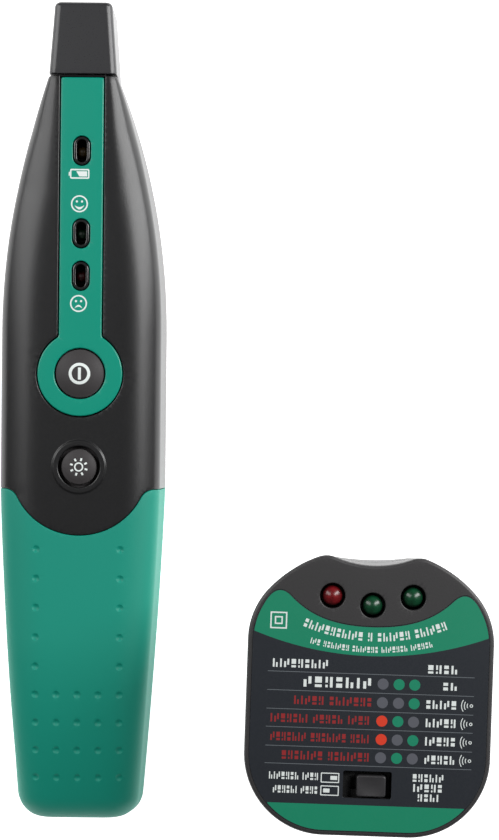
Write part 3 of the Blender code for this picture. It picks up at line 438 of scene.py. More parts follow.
# moulded green strip, a little brighter and glossier than the grip, so its edges catch the light
greenAbs = surface("green ABS, satin", {
    "colour": "#05937b", "tone": "#07967e", "drift": 20, "grain": 0.3, "gloss": (0.28, 0.34), "raise": 0.1,
    "shader": absGloss})
# printed polyester film: flat inks under a fine velvet grain
filmInks = {
    "black": ("#1a1f26", "#1c2129"), "green": ("#06815f", "#088563"), "white": ("#dfe6e4", "#e6ece9"),
    "line": ("#60666b", "#6a7075"), "grey": ("#54565e", "#5a5c64"), "red": ("#8f1f22", "#962326"),
    "signal": ("#d8371c", "#dc3d20"),
}
film = {
    ink: surface("label film, " + ink + " ink", {
        "colour": colours[0], "tone": colours[1], "drift": 9, "grain": 0.22, "gloss": (0.38, 0.46),
        "raise": 0.12, "shader": {"IOR": 1.57}})
    for ink, colours in filmInks.items()
}
# silicone keypad rubber: matt, with a dusty spread of light
rubber = surface("silicone rubber, matt", {
    "colour": "#363334", "tone": "#3b3839", "drift": 6, "grain": 0.3, "gloss": (0.5, 0.58), "raise": 0.35,
    "shader": {"IOR": 1.43, "Sheen Weight": 0.15}})
# pad-printed white ink, slightly proud and satin
padInk = surface("white pad print", {
    "colour": "#e9f2ef", "tone": "#f1f7f5", "drift": 3, "grain": 0.2, "gloss": (0.4, 0.5), "raise": 0.1})
# polished black polycarbonate of the window frames: small bright glints on the rim
windowBlack = surface("black polycarbonate, polished", {
    "colour": "#1d1d1e", "tone": "#202021", "drift": 5, "grain": 0.5, "gloss": (0.16, 0.22), "raise": 0.05,
    "shader": {"IOR": 1.58, "Coat Weight": 0.5, "Coat Roughness": 0.08}})
# nickel plating over brass: warm grey metal with drawing marks
nickel = surface("nickel-plated brass", {
    "colour": "#c9c3b4", "tone": "#beb8a8", "drift": 7, "grain": 0.3, "gloss": (0.2, 0.32), "raise": 0.15,
    "shader": {"Metallic": 1.0}})
# zinc plating: a cold, slightly cloudy metal
zinc = surface("zinc-plated steel", {
    "colour": "#b4b8bc", "tone": "#9fa5ab", "drift": 1.6, "grain": 0.2, "gloss": (0.28, 0.42), "raise": 0.2,
    "shader": {"Metallic": 1.0}})
copper = surface("enamelled copper wire", {
    "colour": "#b9683a", "tone": "#a65a30", "drift": 1.2, "grain": 0.25, "gloss": (0.25, 0.35), "raise": 0.6,
    "shader": {"Metallic": 1.0}})
# glass-fibre board under black solder mask, a black chosen as painted shade so the recess behind the windows
# reads dark; the weave a faint grain
shadeBlackBoard = surface("black solder mask on glass fibre as painted shade", {
    "colour": "#101112", "tone": "#151617", "drift": 3, "grain": 0.5, "gloss": (0.3, 0.4), "raise": 0.3})
epoxyBlack = surface("black epoxy, matt", {
    "colour": "#1b1b1c", "tone": "#212122", "drift": 2, "grain": 0.25, "gloss": (0.5, 0.62), "raise": 0.3})
ferrite = surface("sintered ferrite", {
    "colour": "#3a3836", "tone": "#43413e", "drift": 1.5, "grain": 0.3, "gloss": (0.6, 0.75), "raise": 0.5})
redVinyl = surface("red PVC insulation", {
    "colour": "#a01c1c", "tone": "#aa2222", "drift": 4, "grain": 0.3, "gloss": (0.34, 0.42), "raise": 0.1})
blackVinyl = surface("black PVC insulation", {
    "colour": "#1a1a1b", "tone": "#202021", "drift": 4, "grain": 0.3, "gloss": (0.34, 0.42), "raise": 0.1})
jacketDark = surface("battery can, dark lacquer", {
    "colour": "#2c3038", "tone": "#30343c", "drift": 6, "grain": 0.5, "gloss": (0.24, 0.3), "raise": 0.05,
    "shader": {"Metallic": 0.4}})
jacketBright = surface("battery can, bright lacquer", {
    "colour": "#b98a3c", "tone": "#c29344", "drift": 6, "grain": 0.5, "gloss": (0.26, 0.32), "raise": 0.05,
    "shader": {"Metallic": 0.8}})
fuseGlass = surface("fuse tube glass", {
    "colour": "#d6dcdc", "tone": "#dde3e3", "drift": 5, "grain": 0.5, "gloss": (0.05, 0.1), "raise": 0.0,
    "shader": {"Transmission Weight": 0.7, "IOR": 1.5}})
filmCapacitor = surface("dipped film capacitor", {
    "colour": "#a65a1c", "tone": "#ad6020", "drift": 3, "grain": 0.4, "gloss": (0.32, 0.4), "raise": 0.15})


def lensEpoxy(name, finish, centre):
    # Tinted epoxy over a small metal reflector, drawn as one opaque colour: a painted reflection of the
    # reflector, pale in the middle, fades through the tint to a nearly black rim of painted shade, streaked
    # along its ridges.
    # The glow, painted light, is centred on a point in the lamp.
    material, place = newMaterial(name)
    size = 1 / (finish["radius"] * mm)
    centred = addNode(material, "ShaderNodeMapping", {
        "Vector": place, "Location": tuple(-size * centre), "Scale": (size, size, size)})
    glow = addNode(material, "ShaderNodeTexGradient", {"Vector": centred.outputs["Vector"]},
                   gradient_type="SPHERICAL")
    shineStreaks = addNode(material, "ShaderNodeTexNoise", {
        "Vector": centred.outputs["Vector"], "Scale": 2.4, "Detail": 4.0, "Roughness": 0.7})
    mixed = addNode(material, "ShaderNodeMath", {
        0: glow.outputs["Fac"], 1: shineStreaks.outputs["Fac"]}, operation="MULTIPLY")
    ramp = addNode(material, "ShaderNodeValToRGB", {"Fac": mixed.outputs["Value"]})
    steps = ramp.color_ramp.elements
    # the first stop is painted shade at the dome's edge, the last a painted reflection of the metal reflector
    steps[0].position, steps[0].color = 0.04, linear(finish["rim"])
    steps[1].position, steps[1].color = 0.52, linear(finish["cupShine"])
    tint = steps.new(0.24)
    tint.color = linear(finish["tint"])
    shader = addNode(material, "ShaderNodeBsdfPrincipled", {
        "Base Color": ramp.outputs["Color"], "Roughness": 0.3, "IOR": 1.5, "Coat Weight": 0.3,
        "Coat Roughness": 0.2})
    addNode(material, "ShaderNodeOutputMaterial", {"Surface": shader.outputs["BSDF"]})
    return material


print("finishes ready")


# The receiver's body. A flat coordinate runs round its section from the middle of the face to the parting
# plane: first the flat, then a superellipse corner, then the straight wall. The other one runs along y and
# goes on round the end of the grip.
body = {
    "halfWidth": 22.2, "thick": 33.0, "top": 88.9, "end": -109.0, "parting": 16.0,
    "shoulderFrom": 20.0, "shoulderDrop": 12.9, "shoulderPower": 2.12,
    "gripFrom": -18.0, "gripDrop": 5.7, "gripPower": 1.33,
    "slopeFrom": -60.0, "slopeDrop": 8.0, "backRiseFrom": 30.0, "backRise": 9.0,
    "endPlan": 6.2, "endFront": 4.0, "endBack": 3.0, "endFace": 12.0, "cornerPower": 2.3,
}
frontFace = {"inFrom": 12.0, "leastFlat": 6.3, "corner": 6.4, "draft": 0.9,
             "flatSpan": 10.2, "cornerSpan": 12.6, "wallSpan": 11.2}
backFace = {"inFrom": 6.0, "leastFlat": 4.0, "corner": 6.0, "draft": 0.3,
            "flatSpan": 16.2, "cornerSpan": 9.4, "wallSpan": 10.0}


def fall(y, start, end, power):
    # how far y has gone from start to end, as a power of the share; 0 before the start
    return np.clip((y - start) / (end - start), 0, 1.3) ** power


def alongBody(v):
    # y, how far the round of the grip's end has drawn the section in, and the scale of the end face
    start = body["end"] + body["endPlan"]
    roundLength = body["endPlan"] * pi / 2
    turn = np.clip((start - v) / roundLength, 0, 1) * pi / 2
    y = np.maximum(v, start) - body["endPlan"] * np.sin(turn)
    scale = 1 - np.clip((start - roundLength - v) / body["endFace"], 0, 1)
    return y, 1 - np.cos(turn), scale


def halfWidth(y):
    shoulder = body["shoulderDrop"] * fall(y, body["shoulderFrom"], body["top"], body["shoulderPower"])
    grip = body["gripDrop"] * fall(y, body["gripFrom"], body["end"], body["gripPower"])
    return body["halfWidth"] - shoulder - grip


def frontReach(y):
    # from the parting plane up to the front face
    slope = body["slopeDrop"] * fall(y, body["slopeFrom"], body["end"], 2)
    return body["thick"] - body["parting"] - slope


def backReach(y):
    rise = body["backRise"] * fall(y, body["backRiseFrom"], body["top"], 1.8)
    return body["parting"] - rise


def flatHalf(face, wide):
    return np.minimum(np.maximum(wide - face["inFrom"], face["leastFlat"]), wide * 0.8)


def draftOf(face, wide):
    # how far the wall leans in: less where the corner is narrower
    return face["draft"] * (wide - flatHalf(face, wide)) / face["inFrom"]


def section(u, wide, reach, face):
    # the plan x of a point of the section, and how far it lies from the face's flat towards the parting plane
    side, power = np.abs(u), 2 / body["cornerPower"]
    flat, draft = flatHalf(face, wide), draftOf(face, wide)
    corner = np.minimum(face["corner"] * np.minimum((wide - flat) / face["inFrom"] * 1.5, 1), reach * 0.7)
    turn = np.clip((side - face["flatSpan"]) / face["cornerSpan"], 0, 1) * pi / 2
    wall = np.maximum(side - face["flatSpan"] - face["cornerSpan"], 0) / face["wallSpan"]
    across = np.minimum(side / face["flatSpan"], 1) * flat + (wide - draft - flat) * np.sin(turn) ** power
    depth = corner * (1 - np.cos(turn) ** power) + wall * (reach - corner)
    return np.sign(u) * (across + wall * draft), depth


def bodyLift(face, relief=None):
    # the outer surface of one half of the body; relief lowers points along z by their plan place
    def lift(flat):
        u, v = flat.T
        y, drawn, scale = alongBody(v)
        wide = halfWidth(y) - body["endPlan"] * drawn
        front = face is frontFace
        reach = frontReach(y) - body["endFront"] * drawn if front else backReach(y) - body["endBack"] * drawn
        x, depth = section(u, wide, reach, face)
        rise = (reach - depth) * scale
        if relief is not None:
            rise = rise - relief(x, y)
        return np.stack([x, y, body["parting"] + rise] if front else [-x, y, body["parting"] - rise], axis=1)
    return lift


def unrolled(plan, face):
    # plan points on the flat or the corner, as flat coordinates of the surface over them
    x = plan[:, 0]
    y, drawn, _ = alongBody(plan[:, 1])
    wide = halfWidth(y) - body["endPlan"] * drawn
    flat, draft = flatHalf(face, wide), draftOf(face, wide)
    side = np.abs(x)
    turn = np.arcsin(np.clip((side - flat) / (wide - draft - flat), 0, 1) ** (body["cornerPower"] / 2))
    corner = face["flatSpan"] + face["cornerSpan"] * turn / (pi / 2)
    wall = np.maximum(side - wide + draft, 0) / draft * face["wallSpan"]
    u = np.where(side < flat, side / flat * face["flatSpan"], corner + wall)
    return np.stack([np.sign(x) * u * (1 if face is frontFace else -1), plan[:, 1]], axis=1)


def partingEdge(face, gap=0.4):
    return face["flatSpan"] + face["cornerSpan"] + face["wallSpan"] * (1 - gap / 11)


# The seam between the black casing and the green grip: straight in from each side, down in a fillet, and
# round a tongue. Its gap is shared by the two casings.
seam = {"radius": 18.4, "low": -32.5, "side": -20.3, "fillet": 4.0, "half": 0.32}


def seamLine(margin):
    # plan points from the left side to the right one, moved up by the margin
    radius, fillet, side = seam["radius"] - margin, seam["fillet"] + margin, seam["side"] + margin
    centre = seam["low"] + seam["radius"]
    drop = side - fillet - centre
    across = sqrt((radius + fillet) ** 2 - drop ** 2)
    meet = degrees(atan2(drop, across))
    return np.concatenate([
        arc((-across, side - fillet), fillet, 90, -meet, 14),
        arc((0.0, centre), radius, -180 - meet, meet, 60)[1:-1],
        arc((across, side - fillet), fillet, 180 + meet, 90, 14),
    ])


def casingLoop(face, upper):
    # the flat outline of a casing: along the seam, up or down both parting edges and across the end
    margin = seam["half"] if upper else -seam["half"]
    line = unrolled(seamLine(margin), face)
    if face is backFace:
        line = line[::-1]
    edge, side = partingEdge(face), seam["side"] + margin
    far = body["top"] - 0.3 if upper else body["end"] + body["endPlan"] * (1 - pi / 2) - body["endFace"] + 0.2
    # the grip's end face is cut across its two corners, where the walls' lower edges meet
    turned = body["end"] + body["endPlan"] * (1 - pi / 2)
    low = [] if upper else [(edge, turned), (-edge, turned)]
    across = edge if upper else edge - 4.0
    ends = np.array([(edge, side), *low[:1], (across, far), (-across, far), *low[1:], (-edge, side)])
    return dense(np.concatenate([line, ends]), 0.9)


def onBody(plan, face):
    # a plan loop laid on the surface, with points enough to follow it
    return dense(unrolled(dense(plan, 1.5), face), 0.6)


receiver = {"wall": 2.0, "edge": 0.25, "spacing": 1.0}
wallEdge = bead(receiver["edge"], 3) + [[receiver["edge"], receiver["wall"]]]

# The keyhole panel: a straight strip that ends in a disc round the power button.
strip = {
    "half": 5.65, "ring": 11.2, "top": 88.4, "thick": 1.3, "proud": 0.1, "gap": 0.3, "edge": 0.32,
    "neck": 1.2, "windowHalf": (2.1, 3.7), "windowSlot": (1.33, 3.05), "tray": (6.65, 6.2, 1.0),
}
powerY = spotOf("power_button", receiverPlace)[1]
lampY = spotOf("lamp_button", receiverPlace)[1]
windows = {name: spotOf(name + "_window", receiverPlace)[1] for name in ("battery", "found", "search")}


def keyhole(margin):
    # the margin moves the outline outwards; a small fillet eases the strip into the disc
    radius, half, neck = strip["ring"] + margin, strip["half"] + margin, strip["neck"] - margin
    across = half + neck
    rise = sqrt((radius + neck) ** 2 - across ** 2)
    meet = degrees(atan2(rise, across))
    top = strip["top"] + margin
    right = arc((across, powerY + rise), neck, 180 + meet, 180, 6)
    left = arc((-across, powerY + rise), neck, 0, -meet, 6)
    disc = arc((0.0, powerY), radius, 180 - meet, 360 + meet, 72)
    return np.concatenate([[(half, top), (-half, top)], left[:-1], disc, right[1:]])


collar = {"outer": 7.25, "inner": 5.75, "proud": 0.35, "hole": 5.4, "ease": 0.45}


def collarRelief(x, y):
    # a low raised ring round the lamp button: up over the ease, level, and down to the hole
    distance = np.hypot(x, y - lampY)
    rise = np.clip((collar["outer"] - distance) / collar["ease"], 0, 1)
    dip = np.clip((distance - collar["inner"] + collar["ease"]) / collar["ease"], 0, 1)
    rise, dip = rise * rise * (3 - 2 * rise), dip * dip * (3 - 2 * dip)
    return -collar["proud"] * rise * (0.35 + 0.65 * dip)


def addFrontHousing():
    lift = bodyLift(frontFace, collarRelief)
    edge = receiver["edge"]
    holes = [keyhole(strip["gap"] + edge), circle((0.0, lampY), collar["hole"] + edge, 64)]
    rings = [circle((0.0, lampY), radius, 64) for radius in np.arange(collar["hole"] + 0.4, 7.6, 0.15)]
    shape = shell(
        [casingLoop(frontFace, True), *[onBody(hole, frontFace) for hole in holes]], lift,
        [wallEdge, bead(edge, 3) + [[edge, 1.9]], bead(edge, 3) + [[edge, 1.9]]],
        receiver["wall"], receiver["spacing"], extra=unrolled(np.concatenate(rings), frontFace))
    # a tray under the strip's upper end closes the gap beside it
    halfX, halfY, thick = strip["tray"]
    tray = shell([roundedBox((0.0, strip["top"] - halfY + 0.2), halfX, halfY, 0.3)],
                 levelLift(body["thick"] - strip["thick"]), [[[0.0, thick]]], thick, 2.0)
    addPiece("front_housing", "shell", [shape, tray], "receiver", [blackAbs])


dimples = {
    "radius": 1.05, "depth": 0.42, "columns": (-11.1, -5.55, 0.0, 5.55, 11.1),
    "pairRows": (-36.2, -43.9, -51.6, -59.4, -67.1), "fullRows": (-74.6, -82.1, -89.6, -97.1),
}
dimpleSpots = np.array(
    [(x, y) for y in dimples["pairRows"] for x in dimples["columns"][::4]]
    + [(x, y) for y in dimples["fullRows"] for x in dimples["columns"]])


def dimpleRelief(x, y):
    # round hollows with an eased rim, one at each spot
    distance = np.hypot(x[:, None] - dimpleSpots[:, 0], y[:, None] - dimpleSpots[:, 1]).min(axis=1)
    share = np.clip(1 - (distance / dimples["radius"]) ** 2, 0, 1)
    return dimples["depth"] * share ** 1.35


def addGripFront():
    rings = [circle(spot, dimples["radius"] * share, 16) for spot in dimpleSpots
             for share in (0.2, 0.4, 0.6, 0.75, 0.88, 0.96, 1.02)]
    centres = unrolled(np.concatenate([dimpleSpots, *rings]), frontFace)
    shape = shell([casingLoop(frontFace, False)], bodyLift(frontFace, dimpleRelief), [wallEdge],
                  receiver["wall"], receiver["spacing"], extra=centres)
    addPiece("grip_front", "shell", [shape], "receiver", [greenGrip])


screw = {"head": 2.2, "bore": 2.7, "headHigh": 1.6, "shank": 1.1, "cross": 0.42,
         "crossReach": 1.35, "crossDeep": 0.9}


def counterbore(spot, seat, direction, radius):
    # Steps of a screw hole: round the edge, straight along z to the seat, in to the shank's bore, on
    # through the boss and back out. seat is a height, and direction is the sign of z towards the inside.
    def wall(edge, outward, upward):
        rows = [edge + outward * a - upward * b for a, b in bead(0.2, 3)]
        plan = spot + unit(rows[-1][:, :2] - spot) * radius
        narrow = spot + (plan - spot) * ((screw["shank"] + 0.3) / radius)
        boss = spot + (plan - spot) * ((radius + 0.25) / radius)
        deep = seat + direction * 1.8
        steps = ((plan, seat), (narrow, seat), (narrow, deep), (boss, deep))
        return [*rows, *[atHeight(loop, z) for loop, z in steps]]
    return wall


def addScrew(node, bodyName, spot):
    # A pan head looking down, with a tapered cross recess, and its shank up to the tip.
    low, tip = heightsOf(node)
    seat = low + seatOver

    def recess(x, y, z):
        arm = np.minimum(np.abs(x), np.abs(y))
        reach = np.maximum(np.abs(x), np.abs(y))
        across = np.clip((screw["cross"] - arm) / 0.16, 0, 1)
        along = np.clip((screw["crossReach"] - reach) / 0.35, 0, 1)
        return -screw["crossDeep"] * across * along * (z < seat - 0.9)
    head = seat - screw["headHigh"] - 0.3
    radii = np.linspace(0, screw["head"] - 0.5, 22)
    top = np.column_stack([radii, head + 0.25 * (radii / screw["head"]) ** 2])
    side = filleted([(screw["head"] - 0.45, head + 0.16, 0), (screw["head"], head + 0.3, 0.4),
                     (screw["head"], seat - 0.3, 0.15), (screw["shank"], seat - 0.3, 0),
                     (screw["shank"], tip - 1.2, 0), (0.0, tip, 0)])
    shape = turnedShape(np.concatenate([top, side]), 72, relief=recess)
    addPiece(node, "finished", [shifted(shape, (*spot, 0.0))], bodyName, [zinc])


def screwSpots(prefix, place):
    nodes = sorted(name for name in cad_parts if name.startswith(prefix))
    return {name: spotOf(name, place) for name in nodes}


housingScrews = screwSpots("housing_screw_", receiverPlace)
gripScrews = screwSpots("grip_screw_", receiverPlace)
# A screw's head starts at the node's lowest point, which is its own height and clearance below the seat.
seatOver = screw["headHigh"] + 0.3


def screwHole(name, spot):
    seat = heightsOf(name)[0] + seatOver
    loop = onBody(circle(spot, screw["bore"] + 0.2, 32), backFace)
    return loop, counterbore(spot, seat, 1, screw["bore"])


def addRearHousing():
    holes = [screwHole(name, spot) for name, spot in housingScrews.items()]
    shape = shell([casingLoop(backFace, True), *[loop for loop, _ in holes]], bodyLift(backFace),
                  [wallEdge, *[wall for _, wall in holes]], receiver["wall"], receiver["spacing"])
    addPiece("rear_housing", "shell", [shape], "receiver", [blackAbs])


door = {"half": 13.0, "start": -40.0, "thick": 1.9, "level": 2.0, "corner": 1.5, "gap": 0.3, "edge": 0.3,
        "shineStreaks": (-51.0, -53.0, -55.0, -57.0, -59.0), "ribHalf": (6.5, 0.55), "ribDepth": 0.45}


def doorLoop(margin):
    # The door's plan outline. It ends where the round of the grip's end has risen to the door's level,
    # and draws in along the same level at both sides of the end.
    lift = np.arccos(1 - door["level"] / body["endBack"]) * body["endPlan"]
    low = body["end"] + body["endPlan"] - lift
    half = (door["start"] - low) / 2
    box = roundedBox((0.0, low + half), door["half"] + margin, half + margin, door["corner"] + margin)
    loop = dense(box, 0.8)
    y, drawn, _ = alongBody(loop[:, 1])
    wide = halfWidth(y) - body["endPlan"] * drawn
    flat, power = flatHalf(backFace, wide), body["cornerPower"]
    left = np.clip(1 - (door["level"] - body["endBack"] * drawn) / backFace["corner"], 0, 1)
    limit = flat + (wide - draftOf(backFace, wide) - flat) * (1 - left ** power) ** (1 / power) + margin
    loop[:, 0] = np.clip(loop[:, 0], -limit, limit)
    return loop[np.linalg.norm(loop - np.roll(loop, 1, axis=0), axis=1) > 0.1]


def ribRelief(x, y):
    # straight finger grooves across the door, deepest along their middles
    halfX, halfY = door["ribHalf"]
    across = np.clip((halfX - np.abs(x)) / 1.0, 0, 1)
    away = np.abs(y[:, None] - np.array(door["shineStreaks"])).min(axis=1)
    return door["ribDepth"] * across * np.clip(1 - (away / halfY) ** 2, 0, 1) ** 0.8


# The bay's well takes the battery and runs past its two ends. Its walls are given by their height over the
# floor, their thickness and the floor's.
bay = {"half": 13.6, "past": (0.4, 5.4), "floorHalf": (14.6, 34.4), "floorY": -72.2, "floorZ": 2.35,
       "walls": (16.0, 0.9, 1.2)}


def addGripRear():
    seams = [casingLoop(backFace, False)]
    walls = [wallEdge]
    outside = {name: spot for name, spot in gripScrews.items() if abs(spot[0]) > door["half"]}
    under = {name: spot for name, spot in gripScrews.items() if name not in outside}
    for name, spot in outside.items():
        loop, wall = screwHole(name, spot)
        seams.append(loop)
        walls.append(wall)
    opening = doorLoop(door["gap"] + door["edge"])
    seams.append(onBody(opening, backFace))
    walls.append(bead(door["edge"], 3) + [[door["edge"], receiver["wall"]]])
    outer = shell(seams, bodyLift(backFace), walls, receiver["wall"], receiver["spacing"])
    # under the door, a floor round the battery's well, with walls up beside the battery
    low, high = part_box("battery_9v")
    wellLow, wellHigh = low.y / mm - bay["past"][0], high.y / mm + bay["past"][1]
    well = roundedBox((0.0, (wellLow + wellHigh) / 2), bay["half"], (wellHigh - wellLow) / 2, 0.8)
    bayFloor = roundedBox((0.0, bay["floorY"]), *bay["floorHalf"], 1.0)
    tall, thick, floorThick = bay["walls"]
    holes, holeWalls = [dense(mirrored(well), 1.0)], [[[0.0, tall], [-thick, tall], [-thick, floorThick]]]
    for name, spot in under.items():
        holes.append(mirrored(circle(spot, screw["bore"] + 0.2, 32)))
        holeWalls.append(counterbore(spot, heightsOf(name)[0] + seatOver, 1, screw["bore"]))
    inner = shell([dense(bayFloor, 1.0), *holes], levelLift(bay["floorZ"], up=False),
                  [[[0.05, 0.6]], *holeWalls], floorThick, 2.0)
    addPiece("grip_rear", "shell", [outer, inner], "receiver", [greenGrip])


def mirrored(loop):
    # plan points as a downward-facing region counts them
    return loop * (-1, 1)


def levelLift(height, up=True):
    # a flat face at one height that looks up or down
    return lambda flat: atHeight(flat if up else mirrored(flat), height)


def addBatteryDoor():
    x = np.arange(-7.0, 7.01, 0.7)
    y = np.concatenate([rib + np.linspace(-0.7, 0.7, 9) for rib in door["shineStreaks"]])
    grooves = np.stack(np.meshgrid(x, y), axis=2).reshape(-1, 2)
    shape = shell([onBody(doorLoop(-door["edge"]), backFace)], bodyLift(backFace, ribRelief),
                  [bead(door["edge"], 3) + [[door["edge"], door["thick"] - 0.5]]], door["thick"] - 0.5, 1.2,
                  extra=unrolled(grooves, backFace))
    addPiece("battery_door", "panel", [shape], "battery_door", [greenGrip])


addCamera()
addFrontHousing()
addRearHousing()
addGripFront()
addGripRear()
addBatteryDoor()
for name, spot in {**housingScrews, **gripScrews}.items():
    addScrew(name, "receiver", spot)
print("receiver casings ready")


# The nose stands over the casing's end: a tapered box, open below, that holds the pickup coil.
nose = {"base": 89.4, "tip": 108.5, "baseHalf": 9.0, "tipHalf": 7.6, "low": 9.5, "high": 32.8,
        "corner": 1.9, "roll": 1.3, "wall": 1.8, "torchHole": 2.8, "edge": 0.3}


def standing(loop, y):
    # a loop of (x, height) points stood up at one y
    return np.column_stack([loop[:, 0], np.full(len(loop), y), loop[:, 1]])


def noseRing(y, into):
    # the box's section at a height along y, drawn in all round
    share = (y - nose["base"]) / (nose["tip"] - nose["base"])
    half = nose["baseHalf"] + (nose["tipHalf"] - nose["baseHalf"]) * share - into
    middleZ = (nose["low"] + nose["high"]) / 2
    corner = max(nose["corner"] - into, 0.5)
    loop = roundedBox((0.0, middleZ), half, (nose["high"] - nose["low"]) / 2 - into, corner, 8)
    return standing(mirrored(loop), y)


def addNose():
    tip, roll = nose["tip"], nose["roll"]
    face = noseRing(tip, roll) * (-1, 1, 1)
    rows = [noseRing(tip - down, roll - out) for out, down in bead(roll, 7)]
    rows += [noseRing(y, 0.0) for y in np.linspace(tip - roll, nose["base"] + 0.3, 12)[1:]]
    rows += [noseRing(nose["base"] + 0.09, 0.09), noseRing(nose["base"], 0.3)]
    rows += [noseRing(nose["base"], nose["wall"]), noseRing(tip - nose["wall"] - 0.3, nose["wall"])]
    hole = circle((0.0, (nose["low"] + nose["high"]) / 2), nose["torchHole"] + nose["edge"], 40)
    shape = shell([face[:, ::2], hole],
                  lambda flat: standing(mirrored(flat), tip),
                  [rows, bead(nose["edge"], 4) + [[nose["edge"], nose["wall"]]]], nose["wall"], 1.2)
    addPiece("sensor_nose", "cap", [shape], "receiver", [greyAbs])


def ringMark(centre, radius, stroke, steps=48):
    return [circle(centre, radius, steps), circle(centre, radius - stroke, steps)]


def barMark(centre, angle, start, end, width):
    # a bar that points away from a centre, between two distances from it
    c, s = np.cos(radians(angle)), np.sin(radians(angle))
    along, across = np.array([c, s]), np.array([-s, c]) * width / 2
    near, far = np.array(centre) + along * start, np.array(centre) + along * end
    return np.array([near - across, far - across, far + across, near + across])


def mouthMark(centre, half, corners, depths):
    # a crescent between two parabolas through the same corners
    x = np.linspace(-half, half, 13)
    bow = 1 - (x / half) ** 2
    first = np.stack([x, corners + depths[0] * bow], axis=1)
    second = np.stack([x, corners + depths[1] * bow], axis=1)[-2:0:-1]
    return np.concatenate([first, second]) + centre


icons = {"left": -0.5, "battery": 62.9, "smile": 55.0, "frown": 28.7, "stroke": 0.38, "face": 2.25}


def faceMark(y, mouth):
    centre = (icons["left"], y)
    eyes = [circle((icons["left"] + side * 0.68, y + 0.62), 0.3, 16) for side in (-1, 1)]
    return [*ringMark(centre, icons["face"], icons["stroke"]), *eyes, mouthMark(centre, *mouth)]


def stripMarks():
    x, y = icons["left"], icons["battery"]
    charge = np.array([(x - 0.1, y - 0.68), (x + 1.95, y - 0.68), (x + 1.95, y + 0.68), (x - 0.9, y + 0.68)])
    return [
        roundedBox((x, y), 2.55, 1.3, 0.4, 4), roundedBox((x, y), 2.2, 0.92, 0.15, 4), charge,
        np.array([(x - 2.9, y - 0.5), (x - 2.62, y - 0.5), (x - 2.62, y + 0.5), (x - 2.9, y + 0.5)]),
        *faceMark(icons["smile"], (1.3, -0.35, (-1.15, -0.5))),
        *faceMark(icons["frown"], (1.05, -1.3, (0.95, 0.45))),
    ]


def windowLoop(y, margin):
    return slotShape((0.0, y), strip["windowHalf"][0] + margin, strip["windowHalf"][1] + margin)


buttons = {
    "power": {"y": powerY, "radius": 6.33, "hole": 6.73, "crown": 1.2, "steepness": 2.4, "edge": 0.25},
    "lamp": {"y": lampY, "radius": 4.6, "hole": 5.4, "crown": 0.7, "steepness": 3.4, "edge": 0.3},
}


def addStrip():
    edge, top = strip["edge"], body["thick"] + strip["proud"]
    holes = [circle((0.0, powerY), buttons["power"]["hole"] + edge, 80)]
    holes += [windowLoop(y, 0.3 + edge * 0.6) for y in windows.values()]
    wall = bead(edge, 3) + [[edge, strip["thick"]]]
    narrow = bead(edge * 0.6, 3) + [[edge * 0.6, strip["thick"]]]
    shape = shell([dense(keyhole(-edge), 1.0), *holes], levelLift(top),
                  [wall, wall, *[narrow] * len(windows)], strip["thick"], 1.4, marks=[(1, stripMarks())])
    addPiece("indicator_strip", "panel", [shape], "receiver", [greenAbs, padInk])


frames = {"outerEdge": 0.28, "innerEdge": 0.16, "deep": 2.1, "proud": 0.2}


def addWindows():
    halfX, halfY = strip["windowSlot"]
    for name, y in windows.items():
        outer, inner, deep = frames["outerEdge"], frames["innerEdge"], frames["deep"]
        shape = shell(
            [windowLoop(y, -outer), slotShape((0.0, y), halfX + inner, halfY + inner)],
            levelLift(body["thick"] + frames["proud"]),
            [bead(outer, 5) + [[outer, deep]], bead(inner, 4) + [[inner, deep]]], deep, 0.5)
        addPiece(name + "_window", "frame", [shape], "receiver", [windowBlack])


# Lens colours: the rim is painted shade at the dome's edge, the tint is the epoxy's own colour, and the
# middle colour is a painted reflection of the metal reflector.
lampTints = {
    "battery_led": {"rim": "#0f0d0a", "tint": "#4a3a1c", "cupShine": "#b0a184"},
    "found_led": {"rim": "#08100b", "tint": "#12351f", "cupShine": "#5f7f68"},
    "search_led": {"rim": "#120708", "tint": "#4a1416", "cupShine": "#93706c"},
    "tester_led_red": {"rim": "#1e0508", "tint": "#7d1219", "cupShine": "#d9a6a0"},
    "tester_led_green_left": {"rim": "#04140c", "tint": "#0c4a2c", "cupShine": "#9fc0ae"},
    "tester_led_green_right": {"rim": "#04140c", "tint": "#0c4a2c", "cupShine": "#9fc0ae"},
    "torch_led": {"rim": "#8d9296", "tint": "#c3c8ca", "cupShine": "#f3f2e6"},
}
lampSlots = {"battery": "amber_lens", "found": "green_lens", "search": "red_lens"}


def addLamp(node, bodyName, ledge, radii):
    # a moulded lamp: a domed can on a wider foot, which is as high as the ledge
    foot, top = heightsOf(node)
    lens, base = radii
    ledge += foot
    turn = np.linspace(0, pi / 2, 12)
    dome = np.stack([lens * np.sin(turn), top - lens * 0.9 * (1 - np.cos(turn))], axis=1)
    side = filleted([(lens, ledge, 0), (base - 0.1, ledge, 0), (base, ledge - 0.1, 0), (base, foot, 0),
                     (0.0, foot, 0)])
    shape = shifted(turnedShape(np.concatenate([dome, side]), 40), (*spotOf(node, placeFor(bodyName)), 0.0))
    finish = {**lampTints[node], "radius": lens * 1.25}
    centre = middle(node)
    centre.z = (top - lens * 0.7) * mm
    addPiece(node, "lens", [shape], bodyName, [lensEpoxy(node + " epoxy", finish, centre)])


